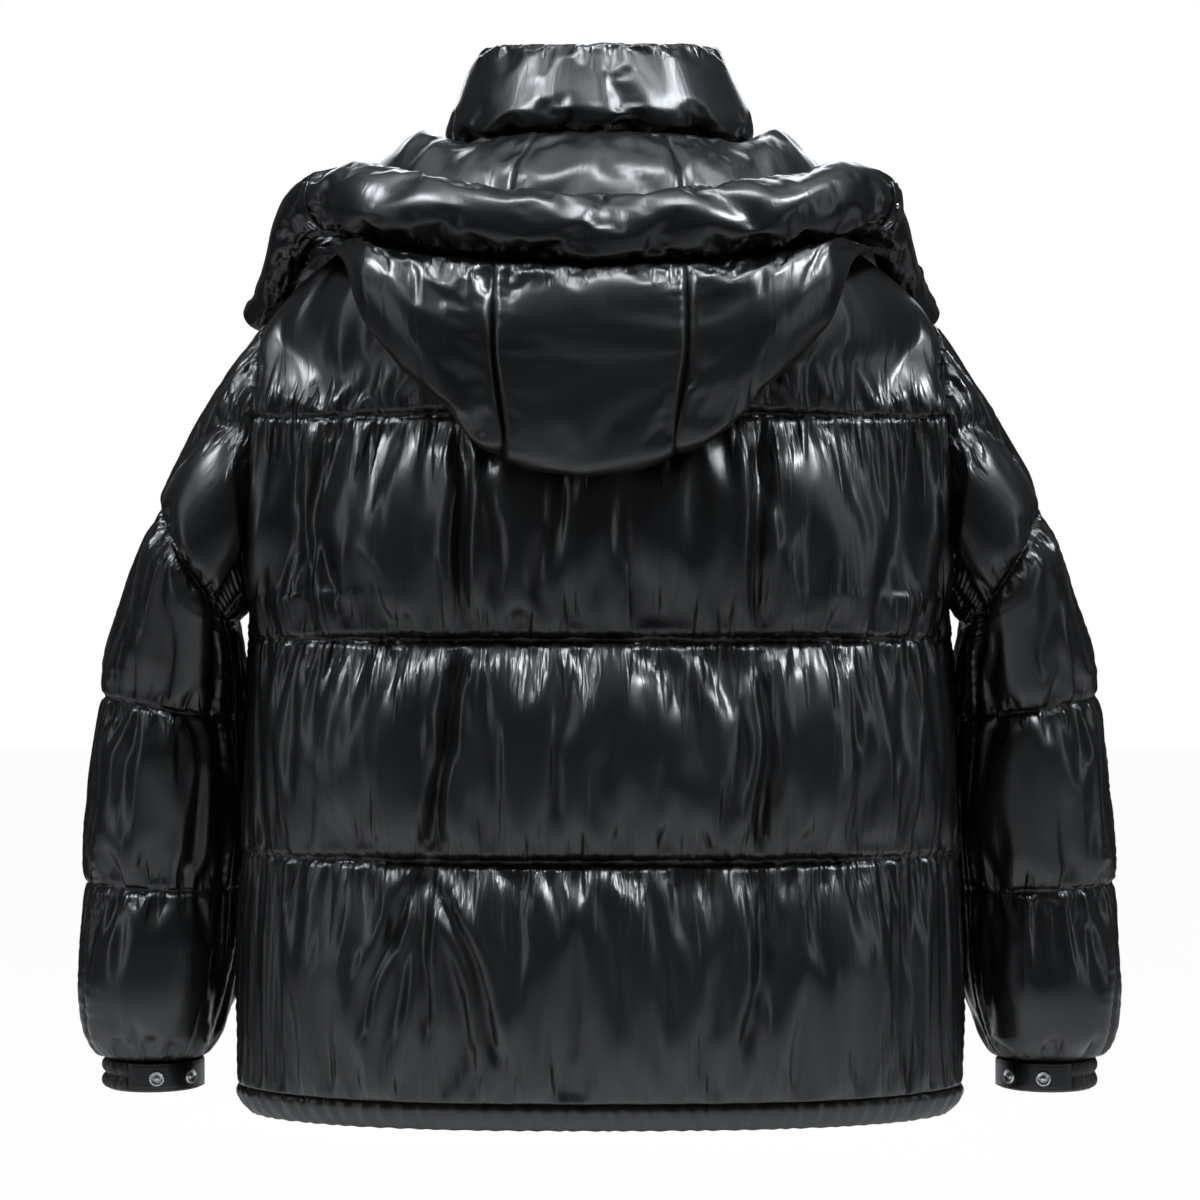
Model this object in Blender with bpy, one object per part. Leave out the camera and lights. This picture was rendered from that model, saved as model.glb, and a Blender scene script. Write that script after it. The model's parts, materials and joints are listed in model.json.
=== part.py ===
"""Down jacket with a thrown-back hood, standing filled out as it does round a wearer.

Frame: +X is the wearer's right, +Y the wearer's front, +Z up. The origin is the middle of the neck seam.
Every table is in millimetres. A wall runs from a plain lining to a quilted outer face.
"""
import math

import bmesh
import bpy
import numpy as np
from mathutils import Matrix

MM = 0.001

# ---- driving sizes, millimetres ----
SEAM_GAP = 0.34              # clear gap between two sewn pieces
WALL_SEAM = 5.0              # wall where a seam pinches the padding flat
NECK_HALF_X = 90.0           # neck ring, half width
NECK_BACK_Y = 72.0           # neck ring, depth behind the origin
NECK_FRONT_Y = 80.0          # neck ring, depth before the origin
NECK_FRONT_DROP = 58.0       # how far the neck ring falls at the centre front
YOKE_Z = -124.0              # level of the shoulder point
HEM_Z = -686.0               # seam between the body and its hem band
ARMHOLE_MID_Z = -225.0
ARMHOLE_HALF_Z = 101.0
ARMHOLE_HALF_Y = 62.0
FRONT_EDGE_X = 9.0           # each front panel stops this far from the centre
QUILT_ROWS = (-194.0, -355.0, -514.0)
BODY_PUFF = 27.0             # how far a band stands over its seams, at its middle
SIDE_PUFF = 5.0              # the same beside a side seam
BAND_ROUND = 46.0            # run from a seam to a band's full height
SLEEVE_PUFF = 13.0
SLEEVE_OUTER_PUFF = 6.0
SLEEVE_INNER_PUFF = 1.0
SLEEVE_ROUND = 34.0
ELBOW_SEAM = 37.0            # degrees round the sleeve from its outermost line, towards the back
UNDER_SEAM = 145.0
CAP_V_ANGLE = 82.0           # where the upper arm of the cap's V meets the armhole
COLLAR_PUFF = 23.0
HOOD_WALL = 6.5
HOOD_PUFF = 12.0
HOOD_SHIFT = -9.0            # the pouch hangs this far towards the wearer's left
CUFF_TOP_Z = -674.5
CUFF_BOTTOM_Z = -698.0
CUFF_WALL = 4.0

# level sections of the body lining
ARMPIT_Z = -326.0            # lowest point of the armhole
SIDE_SEAM_Z = -345.0         # below here the side seam's wall stands straight outwards
YOKE_HALF_X = 247.0          # half width of the lining at the shoulder point
ARMHOLE_SPREAD = 10.0        # how much wider the body is at the armpit than at the shoulder point
FRONT_HALF_X = 256.0         # half width from which a front panel's columns are spread
HEM_HALF_X = 264.0
# outwards and down from the hem seam
HEM_SECTION = ((-1.0, -0.4), (5.0, -0.4), (8.0, -7.0), (3.5, -16.0), (-4.0, -22.0), (-8.0, -12.0))
CUFF_CENTRE_X = 341.0
CUFF_CENTRE_Y = 60.0
CUFF_HALF_X = 33.0
HOOD_TAB_AT = 4.55           # place of the hood's strap along the rim, in sections
SLIDER_AT = 0.955            # along the zip, just under the collar's top
SLIDER_HALF = 5.0
SLIDER_LONG = 15.0
PULL_LONG = 30.0

BODY_ROWS = (
    dict(z=-688.0, half=264.0, back=119.0, front=119.0, bow=0.50),
    dict(z=-600.0, half=264.0, back=121.0, front=122.0, bow=0.50),
    dict(z=-514.0, half=262.0, back=122.0, front=124.0, bow=0.50),
    dict(z=-430.0, half=259.0, back=123.0, front=125.0, bow=0.50),
    dict(z=-355.0, half=257.5, back=124.0, front=125.0, bow=0.50),
    dict(z=-326.0, half=257.0, back=125.0, front=125.0, bow=0.51),
    dict(z=-290.0, half=255.2, back=126.0, front=125.0, bow=0.56),
    dict(z=-225.0, half=252.0, back=126.0, front=124.0, bow=0.60),
    dict(z=-160.0, half=248.8, back=121.0, front=121.0, bow=0.57),
    dict(z=-124.0, half=247.0, back=116.0, front=116.0, bow=0.52),
)

# sleeve lining: outer and inner ends of each ring, its middle's y and its half depth
SLEEVE_RINGS = (
    dict(v=0.00, ox=247.0, oz=-124.0, ix=257.0, iz=-326.0, cy=0.0, half=62.0),
    dict(v=0.12, ox=283.0, oz=-188.0, ix=273.0, iz=-337.0, cy=2.0, half=69.0),
    dict(v=0.24, ox=321.0, oz=-257.0, ix=280.0, iz=-347.0, cy=9.0, half=73.0),
    dict(v=0.42, ox=346.0, oz=-330.0, ix=275.5, iz=-376.0, cy=31.0, half=75.0),
    dict(v=0.55, ox=371.0, oz=-399.0, ix=273.5, iz=-415.0, cy=46.0, half=74.0),
    dict(v=0.66, ox=376.0, oz=-470.0, ix=273.0, iz=-478.0, cy=55.0, half=72.0),
    dict(v=0.77, ox=386.0, oz=-541.0, ix=274.0, iz=-545.0, cy=60.0, half=69.0),
    dict(v=0.89, ox=380.0, oz=-612.0, ix=288.0, iz=-614.0, cy=61.0, half=60.0),
    dict(v=0.97, ox=375.0, oz=-656.0, ix=302.0, iz=-656.0, cy=60.0, half=47.0),
    dict(v=1.00, ox=374.0, oz=-674.0, ix=308.0, iz=-674.0, cy=60.0, half=41.0),
)
SLEEVE_QUILTS = (0.24, 0.55, 0.77)
# degrees round a sleeve, outermost to innermost line; the body has a row at each where it meets the armhole
SLEEVE_TURNS = (0.0, 18.5, 37.0, 54.5, 72.125, 90.0, 108.0, 126.5, 145.0, 162.5, 180.0)

# collar lining rings between the neck seam (0) and the top edge (1)
COLLAR_TOP = dict(half_x=76.0, back_y=63.0, front_y=86.0, side_z=86.0, back_z=80.0, front_z=40.0)

# hood: five or six points a section, neck edge to rim, on the pouch's hollow side (wearer's right half)
HOOD_SECTIONS = (
    ((0, -90, 14), (0, -137, -26), (0, -163, -125), (0, -178, -222), (0, -192, -155), (0, -182, -93)),
    ((44, -87, 13), (60, -131, -25), (64, -161, -120), (56, -177, -211), (66, -188, -150), (66, -178, -90)),
    ((67, -78, 12), (88, -119, -21), (98, -155, -110), (93, -170, -182), (106, -180, -135),
     (108, -167, -86)),
    ((86, -64, 11), (112, -99, -13), (132, -140, -90), (134, -157, -137), (145, -162, -108),
     (148, -148, -79)),
    ((102, -42, 10), (125, -76, 5), (147, -111, -58), (158, -141, -101), (169, -143, -88), (174, -127, -73)),
    ((113, -14, 9), (131, -38, 21), (157, -71, -19), (177, -98, -64), (188, -104, -72), (198, -99, -71)),
    ((115, 12, 9), (133, -6, 24), (170, -22, -10), (196, -33, -46), (209, -35, -61), (218, -36, -68)),
    ((109, 45, -1), (132, 27, 14), (175, 23, -16), (205, 21, -44), (227, 17, -62), (245, 11, -78)),
    ((92, 77, -18), (120, 67, 0), (165, 70, -25), (200, 67, -51), (231, 59, -75), (258, 45, -99)),
)

# the puffed roll: middle line and radius
RIM_RINGS = (
    dict(k=0.0, x=0.0, y=-181.0, z=-67.0, r=24.0),
    dict(k=1.0, x=66.0, y=-177.0, z=-61.0, r=26.0),
    dict(k=2.0, x=108.0, y=-165.0, z=-54.0, r=27.0),
    dict(k=3.0, x=150.0, y=-143.0, z=-45.0, r=27.0),
    dict(k=4.0, x=180.0, y=-114.0, z=-37.0, r=25.0),
    dict(k=5.0, x=201.0, y=-81.0, z=-36.0, r=20.0),
    dict(k=6.0, x=213.0, y=-43.0, z=-39.0, r=16.0),
    dict(k=6.6, x=217.0, y=-17.0, z=-43.0, r=13.5),
)

# upright folds of the body: side, middle x at two levels, depth, half width
BODY_FOLDS = (
    dict(side=-1, x0=-101.0, z0=-205.0, x1=-101.0, z1=-350.0, deep=9.0, wide=13.0),
    dict(side=-1, x0=-97.0, z0=-362.0, x1=-118.0, z1=-508.0, deep=9.0, wide=13.0),
    dict(side=-1, x0=117.0, z0=-205.0, x1=117.0, z1=-350.0, deep=8.0, wide=13.0),
    dict(side=-1, x0=117.0, z0=-362.0, x1=117.0, z1=-508.0, deep=8.0, wide=13.0),
    dict(side=1, x0=-112.0, z0=-205.0, x1=-106.0, z1=-350.0, deep=7.0, wide=14.0),
    dict(side=1, x0=109.0, z0=-205.0, x1=112.0, z1=-350.0, deep=7.0, wide=14.0),
    dict(side=1, x0=-104.0, z0=-362.0, x1=-116.0, z1=-508.0, deep=7.0, wide=14.0),
    dict(side=1, x0=112.0, z0=-362.0, x1=106.0, z1=-508.0, deep=7.0, wide=14.0),
)

MATERIALS = {
    "shell": ((0.012, 0.012, 0.014), 0.30, 0.0),
    "elastic": ((0.010, 0.010, 0.011), 0.62, 0.0),
    "zip_tape": ((0.012, 0.012, 0.013), 0.75, 0.0),
    "zip_coil": ((0.020, 0.020, 0.022), 0.42, 0.0),
    "metal": ((0.62, 0.62, 0.63), 0.24, 1.0),
}


# ---- small helpers ----
def column(rows, key):
    return np.array([row[key] for row in rows], float)


def smooth(xs, ys, at):
    """Monotone cubic through a short table."""
    xs = np.asarray(xs, float)
    ys = np.asarray(ys, float)
    at = np.clip(np.asarray(at, float), xs[0], xs[-1])
    step = np.diff(xs)
    slope = np.diff(ys) / step
    tangent = np.zeros_like(ys)
    tangent[0] = slope[0]
    tangent[-1] = slope[-1]
    for i in range(1, len(xs) - 1):
        if slope[i - 1] * slope[i] > 0.0:
            w1 = 2 * step[i] + step[i - 1]
            w2 = step[i] + 2 * step[i - 1]
            tangent[i] = (w1 + w2) / (w1 / slope[i - 1] + w2 / slope[i])
    i = np.clip(np.searchsorted(xs, at, side="right") - 1, 0, len(xs) - 2)
    t = (at - xs[i]) / step[i]
    a = 2 * t ** 3 - 3 * t ** 2 + 1
    b = t ** 3 - 2 * t ** 2 + t
    c = -2 * t ** 3 + 3 * t ** 2
    d = t ** 3 - t ** 2
    return a * ys[i] + b * step[i] * tangent[i] + c * ys[i + 1] + d * step[i] * tangent[i + 1]


def read(rows, by, key, at):
    order = np.argsort(column(rows, by))
    return smooth(column(rows, by)[order], column(rows, key)[order], at)


def ramp(x):
    x = np.clip(x, 0.0, 1.0)
    return x * x * (3 - 2 * x)


def dome(distance, run):
    """Quarter round: 0 on a seam, 1 at the given run and beyond."""
    x = 1 - np.clip(distance / run, 0.0, 1.0)
    return np.sqrt(np.clip(1 - x ** 2, 0.0, 1.0))


def unit(v):
    return v / np.maximum(np.linalg.norm(v, axis=-1, keepdims=True), 1e-9)


def across(point, u, v, du, dv, flip):
    """Outward direction of the surface point(u, v), from differences kept inside its range."""
    pu = point(u + du, v) - point(u - du, v)
    pv = point(u, v + dv) - point(u, v - dv)
    return unit(np.cross(pu, pv)) * flip


def material(name):
    found = bpy.data.materials.get(name)
    if found is not None:
        return found
    colour, rough, metallic = MATERIALS[name]
    made = bpy.data.materials.new(name)
    made.use_nodes = True
    shader = made.node_tree.nodes["Principled BSDF"]
    shader.inputs["Base Color"].default_value = (*colour, 1.0)
    shader.inputs["Roughness"].default_value = rough
    shader.inputs["Metallic"].default_value = metallic
    return made


def add_mesh(name, points, faces, slot):
    mesh = bpy.data.meshes.new(name)
    mesh.from_pydata([tuple(p * MM) for p in points], [], faces)
    work = bmesh.new()
    work.from_mesh(mesh)
    bmesh.ops.recalc_face_normals(work, faces=work.faces)
    if work.calc_volume(signed=True) < 0:
        bmesh.ops.reverse_faces(work, faces=work.faces)
    work.to_mesh(mesh)
    work.free()
    mesh.materials.append(material(slot))
    made = bpy.data.objects.new(name, mesh)
    bpy.context.scene.collection.objects.link(made)
    return made


def draw_in(grid, ring):
    """Pulls the border points of a grid in by half the seam gap."""
    half = SEAM_GAP / 2
    out = grid.copy()
    out[0] += unit(grid[1] - grid[0]) * half
    out[-1] += unit(grid[-2] - grid[-1]) * half
    if not ring:
        out[:, 0] += unit(grid[:, 1] - grid[:, 0]) * half
        out[:, -1] += unit(grid[:, -2] - grid[:, -1]) * half
    return out


def lace(points, a, b):
    """Triangles between two polylines of point numbers that need not match in count."""
    faces = []
    i = 0
    j = 0
    while i < len(a) - 1 or j < len(b) - 1:
        ta = (i + 1) / (len(a) - 1) if i < len(a) - 1 else 2.0
        tb = (j + 1) / (len(b) - 1) if j < len(b) - 1 else 2.0
        if i < len(a) - 1 and j < len(b) - 1:
            la = np.linalg.norm(points[a[i + 1]] - points[b[j]])
            lb = np.linalg.norm(points[b[j + 1]] - points[a[i]])
            step_a = la <= lb
        else:
            step_a = ta < tb
        if step_a:
            faces.append((a[i], a[i + 1], b[j]))
            i += 1
        else:
            faces.append((a[i], b[j + 1], b[j]))
            j += 1
    return faces


def padded_wall(name, outer, inner, slot, ring=False):
    """Closed wall between an outer grid and a lining grid that may be coarser along its rows."""
    outer = draw_in(outer, ring)
    inner = draw_in(inner, ring)
    points = np.concatenate([outer.reshape(-1, 3), inner.reshape(-1, 3)])
    base = outer.shape[0] * outer.shape[1]

    def number(grid, offset, i, j):
        return offset + i * grid.shape[1] + j % grid.shape[1]

    faces = []
    for grid, offset, turn in ((outer, 0, False), (inner, base, True)):
        last = grid.shape[1] if ring else grid.shape[1] - 1
        for i in range(grid.shape[0] - 1):
            for j in range(last):
                quad = [number(grid, offset, i, j), number(grid, offset, i, j + 1),
                        number(grid, offset, i + 1, j + 1), number(grid, offset, i + 1, j)]
                faces.append(tuple(quad[::-1] if turn else quad))
    wrap = 1 if ring else 0
    for i in (0, -1):
        a = [number(outer, 0, i % outer.shape[0], j) for j in range(outer.shape[1] + wrap)]
        b = [number(inner, base, i % inner.shape[0], j) for j in range(inner.shape[1] + wrap)]
        faces += lace(points, a, b)
    if not ring:
        for j in (0, -1):
            a = [number(outer, 0, i, j % outer.shape[1]) for i in range(outer.shape[0])]
            b = [number(inner, base, i, j % inner.shape[1]) for i in range(inner.shape[0])]
            faces += lace(points, a, b)
    return add_mesh(name, points, faces, slot)


def grid_of(us, vs):
    return np.meshgrid(np.asarray(us, float), np.asarray(vs, float))


def banded(stops, counts, crowd=0.75):
    """Row levels between stops, crowded towards each stop."""
    levels = [stops[0]]
    for start, end, count in zip(stops[:-1], stops[1:], counts):
        for i in range(1, count + 1):
            t = i / count
            eased = (1 - math.cos(math.pi * t)) / 2
            levels.append(start + (end - start) * (crowd * eased + (1 - crowd) * t))
    return levels


# ---- body ----
def neck_curve(phi, side):
    depth = NECK_BACK_Y if side < 0 else NECK_FRONT_Y
    drop = -5.0 if side < 0 else NECK_FRONT_DROP
    level = -5.0 - drop * np.cos(phi) ** 2
    return np.stack([NECK_HALF_X * np.sin(phi), side * depth * np.cos(phi), level], -1)


def neck_nodes(side):
    """Turns at which the collar has its points on the neck seam."""
    if side < 0:
        return back_turns()[::2]
    right = front_turns(np.array([NECK_HALF_X]))[:, 0][::2]
    return np.concatenate([-right[::-1], right])


def neck_ring(phi, side):
    """Neck seam, straight between the collar's points on it."""
    nodes = neck_nodes(side)
    curve = neck_curve(nodes, side)
    return np.stack([np.interp(phi, nodes, curve[:, i]) for i in range(3)], -1)


def armhole_levels():
    return ARMHOLE_MID_Z + ARMHOLE_HALF_Z * np.cos(np.radians(SLEEVE_TURNS))


def armhole_half(z):
    """Half width of the armhole at a level, straight between the points that the sleeve has on it."""
    levels = armhole_levels()[::-1]
    widths = ARMHOLE_HALF_Y * np.sin(np.radians(SLEEVE_TURNS))[::-1]
    return np.interp(z, levels, widths)


def body_slice(phi, z, side):
    half = read(BODY_ROWS, "z", "half", z)
    half = np.where(z > ARMPIT_Z, YOKE_HALF_X + ARMHOLE_SPREAD * (YOKE_Z - z) / (2 * ARMHOLE_HALF_Z), half)
    deep = read(BODY_ROWS, "z", "back" if side < 0 else "front", z)
    bow = read(BODY_ROWS, "z", "bow", z)
    edge = armhole_half(z)
    s = np.sin(phi)
    arch = np.clip(1 - np.abs(s) ** 2.5, 0.0, 1.0) ** bow
    return np.stack([half * s, side * (deep * arch + edge * np.abs(s) ** 8), z + 0 * s], -1)


def body_point(phi, h, side):
    """Lining of the body. h is the level up to the shoulder point, then runs on to 0 at the neck."""
    phi = np.clip(phi, -math.pi / 2, math.pi / 2)
    h = np.clip(h, -700.0, 0.0)
    low = body_slice(phi, np.minimum(h, YOKE_Z), side)
    foot = body_slice(phi, np.full_like(h, YOKE_Z), side)
    top = neck_ring(phi, side)
    rise = np.stack([0 * phi, side * 9.0 * np.cos(phi), 16.0 * np.cos(phi)], -1)
    knee = (foot + top) / 2 + rise
    t = np.clip((h - YOKE_Z) / -YOKE_Z, 0.0, 1.0)[..., None]
    high = (1 - t) ** 2 * foot + 2 * t * (1 - t) * knee + t ** 2 * top
    return np.where((h <= YOKE_Z)[..., None], low, high)


def side_direction(sign, h):
    """Shared wall direction on the side seam, round the armhole and along the shoulder."""
    up = np.interp(h, [SIDE_SEAM_Z, ARMPIT_Z, YOKE_Z, 0.0], [0.0, -1.0, 1.0, 1.0])
    turn = np.clip((ARMHOLE_MID_Z - h) / ARMHOLE_HALF_Z, -1.0, 1.0)
    in_hole = (h > ARMPIT_Z) & (h < YOKE_Z)
    z = np.where(in_hole, -turn, up)
    y = np.where(in_hole, np.sqrt(np.clip(1 - turn ** 2, 0.0, 1.0)), 0.0)
    x = np.where(h <= SIDE_SEAM_Z, 1.0, 0.6)
    return np.stack([sign * x, y, z], -1)


def neck_direction(phi, side):
    return unit(np.stack([0.75 * np.sin(phi), side * 0.75 * np.cos(phi), 0.66 + 0 * phi], -1))


def body_out(phi, h, side):
    """Wall direction of the body: its own outward one, bent to the shared one beside each seam."""
    own = across(lambda a, b: body_point(a, b, side), phi, h, 0.012, 1.5, 1.0 if side < 0 else -1.0)
    here = body_point(phi, h, side)
    sign = np.where(phi < 0, -1.0, 1.0)
    rim = body_point(sign * math.pi / 2, h, side)
    shared = side_direction(sign, h) * np.array([1.0, side, 1.0])
    near = ramp(np.linalg.norm(here - rim, axis=-1) / 34.0)[..., None]
    own = unit(own * near + unit(shared) * (1 - near))
    top = body_point(phi, 0 * h, side)
    near = ramp(np.linalg.norm(here - top, axis=-1) / 34.0)[..., None]
    return unit(own * near + neck_direction(phi, side) * (1 - near))


def gathers(along, distance, seed, pitch=46.0, reach=26.0, size=2.6):
    """Puckers that run off a seam and die out."""
    wave = np.sin(2 * math.pi * along / pitch + seed)
    wave = wave + 0.6 * np.sin(2 * math.pi * along / (pitch * 1.63) + 2.1 * seed)
    swell = np.clip(distance / 8.0, 0.0, 1.0)
    return size * wave * swell * np.exp(-distance / reach)


def body_thick(phi, h, side):
    here = body_point(phi, h, side)
    x, z = here[..., 0], here[..., 2]
    sign = np.where(phi < 0, -1.0, 1.0)
    rim = body_point(sign * math.pi / 2, h, side)
    to_rim = np.linalg.norm(here - rim, axis=-1)
    stops = np.array((HEM_Z - 2.0, *QUILT_ROWS[::-1]))
    to_quilt = np.min(np.abs(h[..., None] - stops), axis=-1)
    to_neck = np.linalg.norm(here - body_point(phi, 0 * h, side), axis=-1)
    # each band hangs, so it rounds over faster at its foot than under its head
    below = np.min(np.where(h[..., None] >= stops, h[..., None] - stops, 999.0), axis=-1)
    above = np.min(np.where(h[..., None] <= stops, stops - h[..., None], 999.0), axis=-1)
    above = np.minimum(above, 0.7 * to_neck)
    band = dome(below, BAND_ROUND * 0.8) * dome(above, BAND_ROUND * 1.25)
    puff = SIDE_PUFF + (BODY_PUFF - SIDE_PUFF) * ramp(to_rim / 180.0)
    if side > 0:
        to_zip = np.abs(x) - FRONT_EDGE_X
        puff = puff * (0.25 + 0.75 * dome(to_zip, 40.0)) * dome(to_zip + 0.2, 16.0)
    rim_rise = dome(to_rim, 30.0)
    thick = WALL_SEAM + puff * band * rim_rise
    armpit = np.exp(-((z + 338.0) / 24.0) ** 2) * (1 - ramp(to_rim / 90.0))
    thick = thick - 0.85 * (thick - WALL_SEAM) * armpit
    rim_rise = rim_rise * (1 - armpit)
    pinch = gathers(x, to_quilt, 1.3 * side + 0.4) * rim_rise * ramp(to_neck / 40.0)
    if side > 0:
        pinch = pinch * ramp(to_zip / 30.0)
    thick = thick + pinch
    for fold in BODY_FOLDS:
        if fold["side"] != side:
            continue
        t = (z - fold["z0"]) / (fold["z1"] - fold["z0"])
        middle = fold["x0"] + (fold["x1"] - fold["x0"]) * t
        along = ramp((t + 0.04) / 0.12) * ramp((1.04 - t) / 0.12)
        thick = thick - fold["deep"] * along * np.exp(-((x - middle) / fold["wide"]) ** 2)
    return np.maximum(thick, WALL_SEAM * 0.9)


def body_outer(phi, h, side):
    return body_point(phi, h, side) + body_out(phi, h, side) * body_thick(phi, h, side)[..., None]


def body_levels():
    """Rows of the outer face: close together at each quilting seam, on the sleeve's points beside it."""
    low = (HEM_Z, -679.0, -660.0, -628.0, -590.0, -552.0, -530.0, -520.0, -514.0, -508.0, -495.0, -468.0,
           -430.0, -394.0, -372.0, -361.0, -355.0, -349.0, -337.0)
    hole = [level for level in armhole_levels()[::-1]]
    extra = (-207.0, -183.0)
    high = (-110.0, -90.0, -66.0, -42.0, -22.0, -9.0, 0.0)
    return sorted((*low, *hole, *extra, *high))


def lining_levels():
    low = (HEM_Z, -600.0, -514.0, -430.0, -355.0)
    return sorted((*low, *armhole_levels(), -84.0, -42.0, 0.0))


def back_turns():
    turns = np.linspace(-1.0, 1.0, 29)
    return math.pi / 2 * (0.86 * turns + 0.14 * turns ** 3)


def front_turns(half):
    """Turns from the zip edge to the side seam, for a front lining of the given half width."""
    start = np.arcsin(FRONT_EDGE_X / half)
    return start + (math.pi / 2 - start) * np.linspace(0.0, 1.0, 15)[:, None]


def front_grid(levels, every):
    half = [NECK_HALF_X + (YOKE_HALF_X - NECK_HALF_X) * max(h / YOKE_Z, 0.0) if h > YOKE_Z else FRONT_HALF_X
            for h in levels]
    phi = front_turns(np.array(half)).T[:, ::every]
    return phi, np.array(levels)[:, None] * np.ones_like(phi)


def make_body():
    phi, h = grid_of(back_turns(), body_levels())
    phi_in, h_in = grid_of(back_turns()[::2], lining_levels())
    padded_wall("back", body_outer(phi, h, -1), body_point(phi_in, h_in, -1), "shell")
    for name, sign in (("front_right", 1.0), ("front_left", -1.0)):
        phi, h = front_grid(body_levels(), 1)
        phi_in, h_in = front_grid(lining_levels(), 2)
        padded_wall(name, body_outer(sign * phi, h, 1), body_point(sign * phi_in, h_in, 1), "shell")


# ---- sleeves (worked out for the wearer's right, mirrored for the left) ----
def sleeve_point(theta, v):
    """theta 0 is the outermost line, positive turns to the back."""
    v = np.clip(v, 0.0, 1.0)
    get = {key: read(SLEEVE_RINGS, "v", key, v) for key in ("ox", "oz", "ix", "iz", "cy", "half")}
    mid_x = (get["ox"] + get["ix"]) / 2
    mid_z = (get["oz"] + get["iz"]) / 2
    c = np.cos(theta)
    s = np.sin(theta)
    x = mid_x + (get["ox"] - get["ix"]) / 2 * c
    z = mid_z + (get["oz"] - get["iz"]) / 2 * c
    return np.stack([x, get["cy"] - get["half"] * s, z], -1)


def sleeve_out(theta, v):
    own = across(sleeve_point, theta, v, 0.02, 0.004, 1.0)
    hole = unit(np.stack([0.6 + 0 * theta, -np.sin(theta), np.cos(theta)], -1))
    near = ramp(v / 0.11)[..., None]
    own = unit(own * near + hole * (1 - near))
    level = own * np.array([1.0, 1.0, 0.25])
    end = ramp((1.0 - v) / 0.06)[..., None]
    return unit(own * end + unit(level) * (1 - end))


def sleeve_thick(theta, v):
    here = sleeve_point(theta, v)
    turn = np.abs(np.degrees((theta + math.pi) % (2 * math.pi) - math.pi))
    arm = SLEEVE_QUILTS[0] * np.clip(1 - turn / CAP_V_ANGLE, 0.0, 1.0)
    stops = np.array((0.0, *SLEEVE_QUILTS, 1.0))
    longs = 560.0 - 330.0 * ramp((turn - 60.0) / 110.0) * (v < 0.3)
    gap = (v[..., None] - stops) * longs[..., None]
    above = np.min(np.where(gap >= 0, gap, 999.0), axis=-1)
    below = np.min(np.where(gap <= 0, -gap, 999.0), axis=-1)
    in_cap = (v < SLEEVE_QUILTS[0]) & (turn < CAP_V_ANGLE)
    to_v = np.abs(v - arm) * 430.0
    above = np.where(in_cap & (v >= arm), np.minimum(above, to_v), above)
    below = np.where(in_cap & (v < arm), np.minimum(below, to_v), below)
    band = dome(above, SLEEVE_ROUND * 1.2) * dome(below, SLEEVE_ROUND * 0.8)
    full = SLEEVE_INNER_PUFF + (SLEEVE_PUFF - SLEEVE_INNER_PUFF) * ramp((175.0 - turn) / 80.0)
    full = full - (SLEEVE_PUFF - SLEEVE_OUTER_PUFF) * (1 - ramp(turn / 55.0))
    full = full + 8.0 * ramp((v - 0.80) / 0.12)
    theta_deg = np.degrees(theta % (2 * math.pi))
    round_seam = np.minimum(np.abs(theta_deg - ELBOW_SEAM), np.abs(theta_deg - UNDER_SEAM))
    round_seam = np.minimum(round_seam, np.abs(theta_deg - 360.0 - ELBOW_SEAM))
    long_pinch = 0.62 + 0.38 * dome(round_seam, 16.0)
    along = theta * 75.0
    pinch = gathers(along, np.minimum(above, below), 0.9, pitch=39.0, reach=20.0, size=1.8)
    pinch = pinch * ramp((165.0 - turn) / 30.0) * ramp(v / 0.04)
    armpit = ramp((turn - 110.0) / 40.0) * ramp((0.36 - v) / 0.14)
    return np.maximum(WALL_SEAM + (full * band * long_pinch + pinch) * (1 - armpit), WALL_SEAM * 0.8)


def make_sleeves():
    rows = banded((0.0, 0.24, 0.55, 0.77, 1.0), (6, 6, 5, 6), 0.7)
    lining_rows = (0.0, 0.06, 0.12, 0.18, 0.24, 0.33, 0.42, 0.55, 0.66, 0.77, 0.89, 0.96, 1.0)
    turns = list(SLEEVE_TURNS)
    first = turns.index(ELBOW_SEAM)
    last = turns.index(UNDER_SEAM)
    rest = turns[last:] + [360.0 - t for t in turns[-2::-1]] + [360.0 + t for t in turns[1:first + 1]]
    for side_name, sign in (("right", 1.0), ("left", -1.0)):
        mirror = np.array([sign, 1.0, 1.0])
        for part_name, degrees in (("back", turns[first:last + 1]), ("top", rest)):
            theta, v = grid_of(np.radians(degrees), rows)
            outer = sleeve_point(theta, v) + sleeve_out(theta, v) * sleeve_thick(theta, v)[..., None]
            theta_in, v_in = grid_of(np.radians(degrees), lining_rows)
            inner = sleeve_point(theta_in, v_in)
            padded_wall(f"sleeve_{side_name}_{part_name}", outer * mirror, inner * mirror, "shell")


# ---- cuffs ----
def cuff_point(theta, z, out):
    sides = read(SLEEVE_RINGS, "v", "half", np.full_like(theta, 1.0))
    c = np.cos(theta)
    s = np.sin(theta)
    x = CUFF_CENTRE_X + (CUFF_HALF_X + out) * c
    return np.stack([x, CUFF_CENTRE_Y - (sides - 1.0 + out) * s, z], -1)


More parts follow.
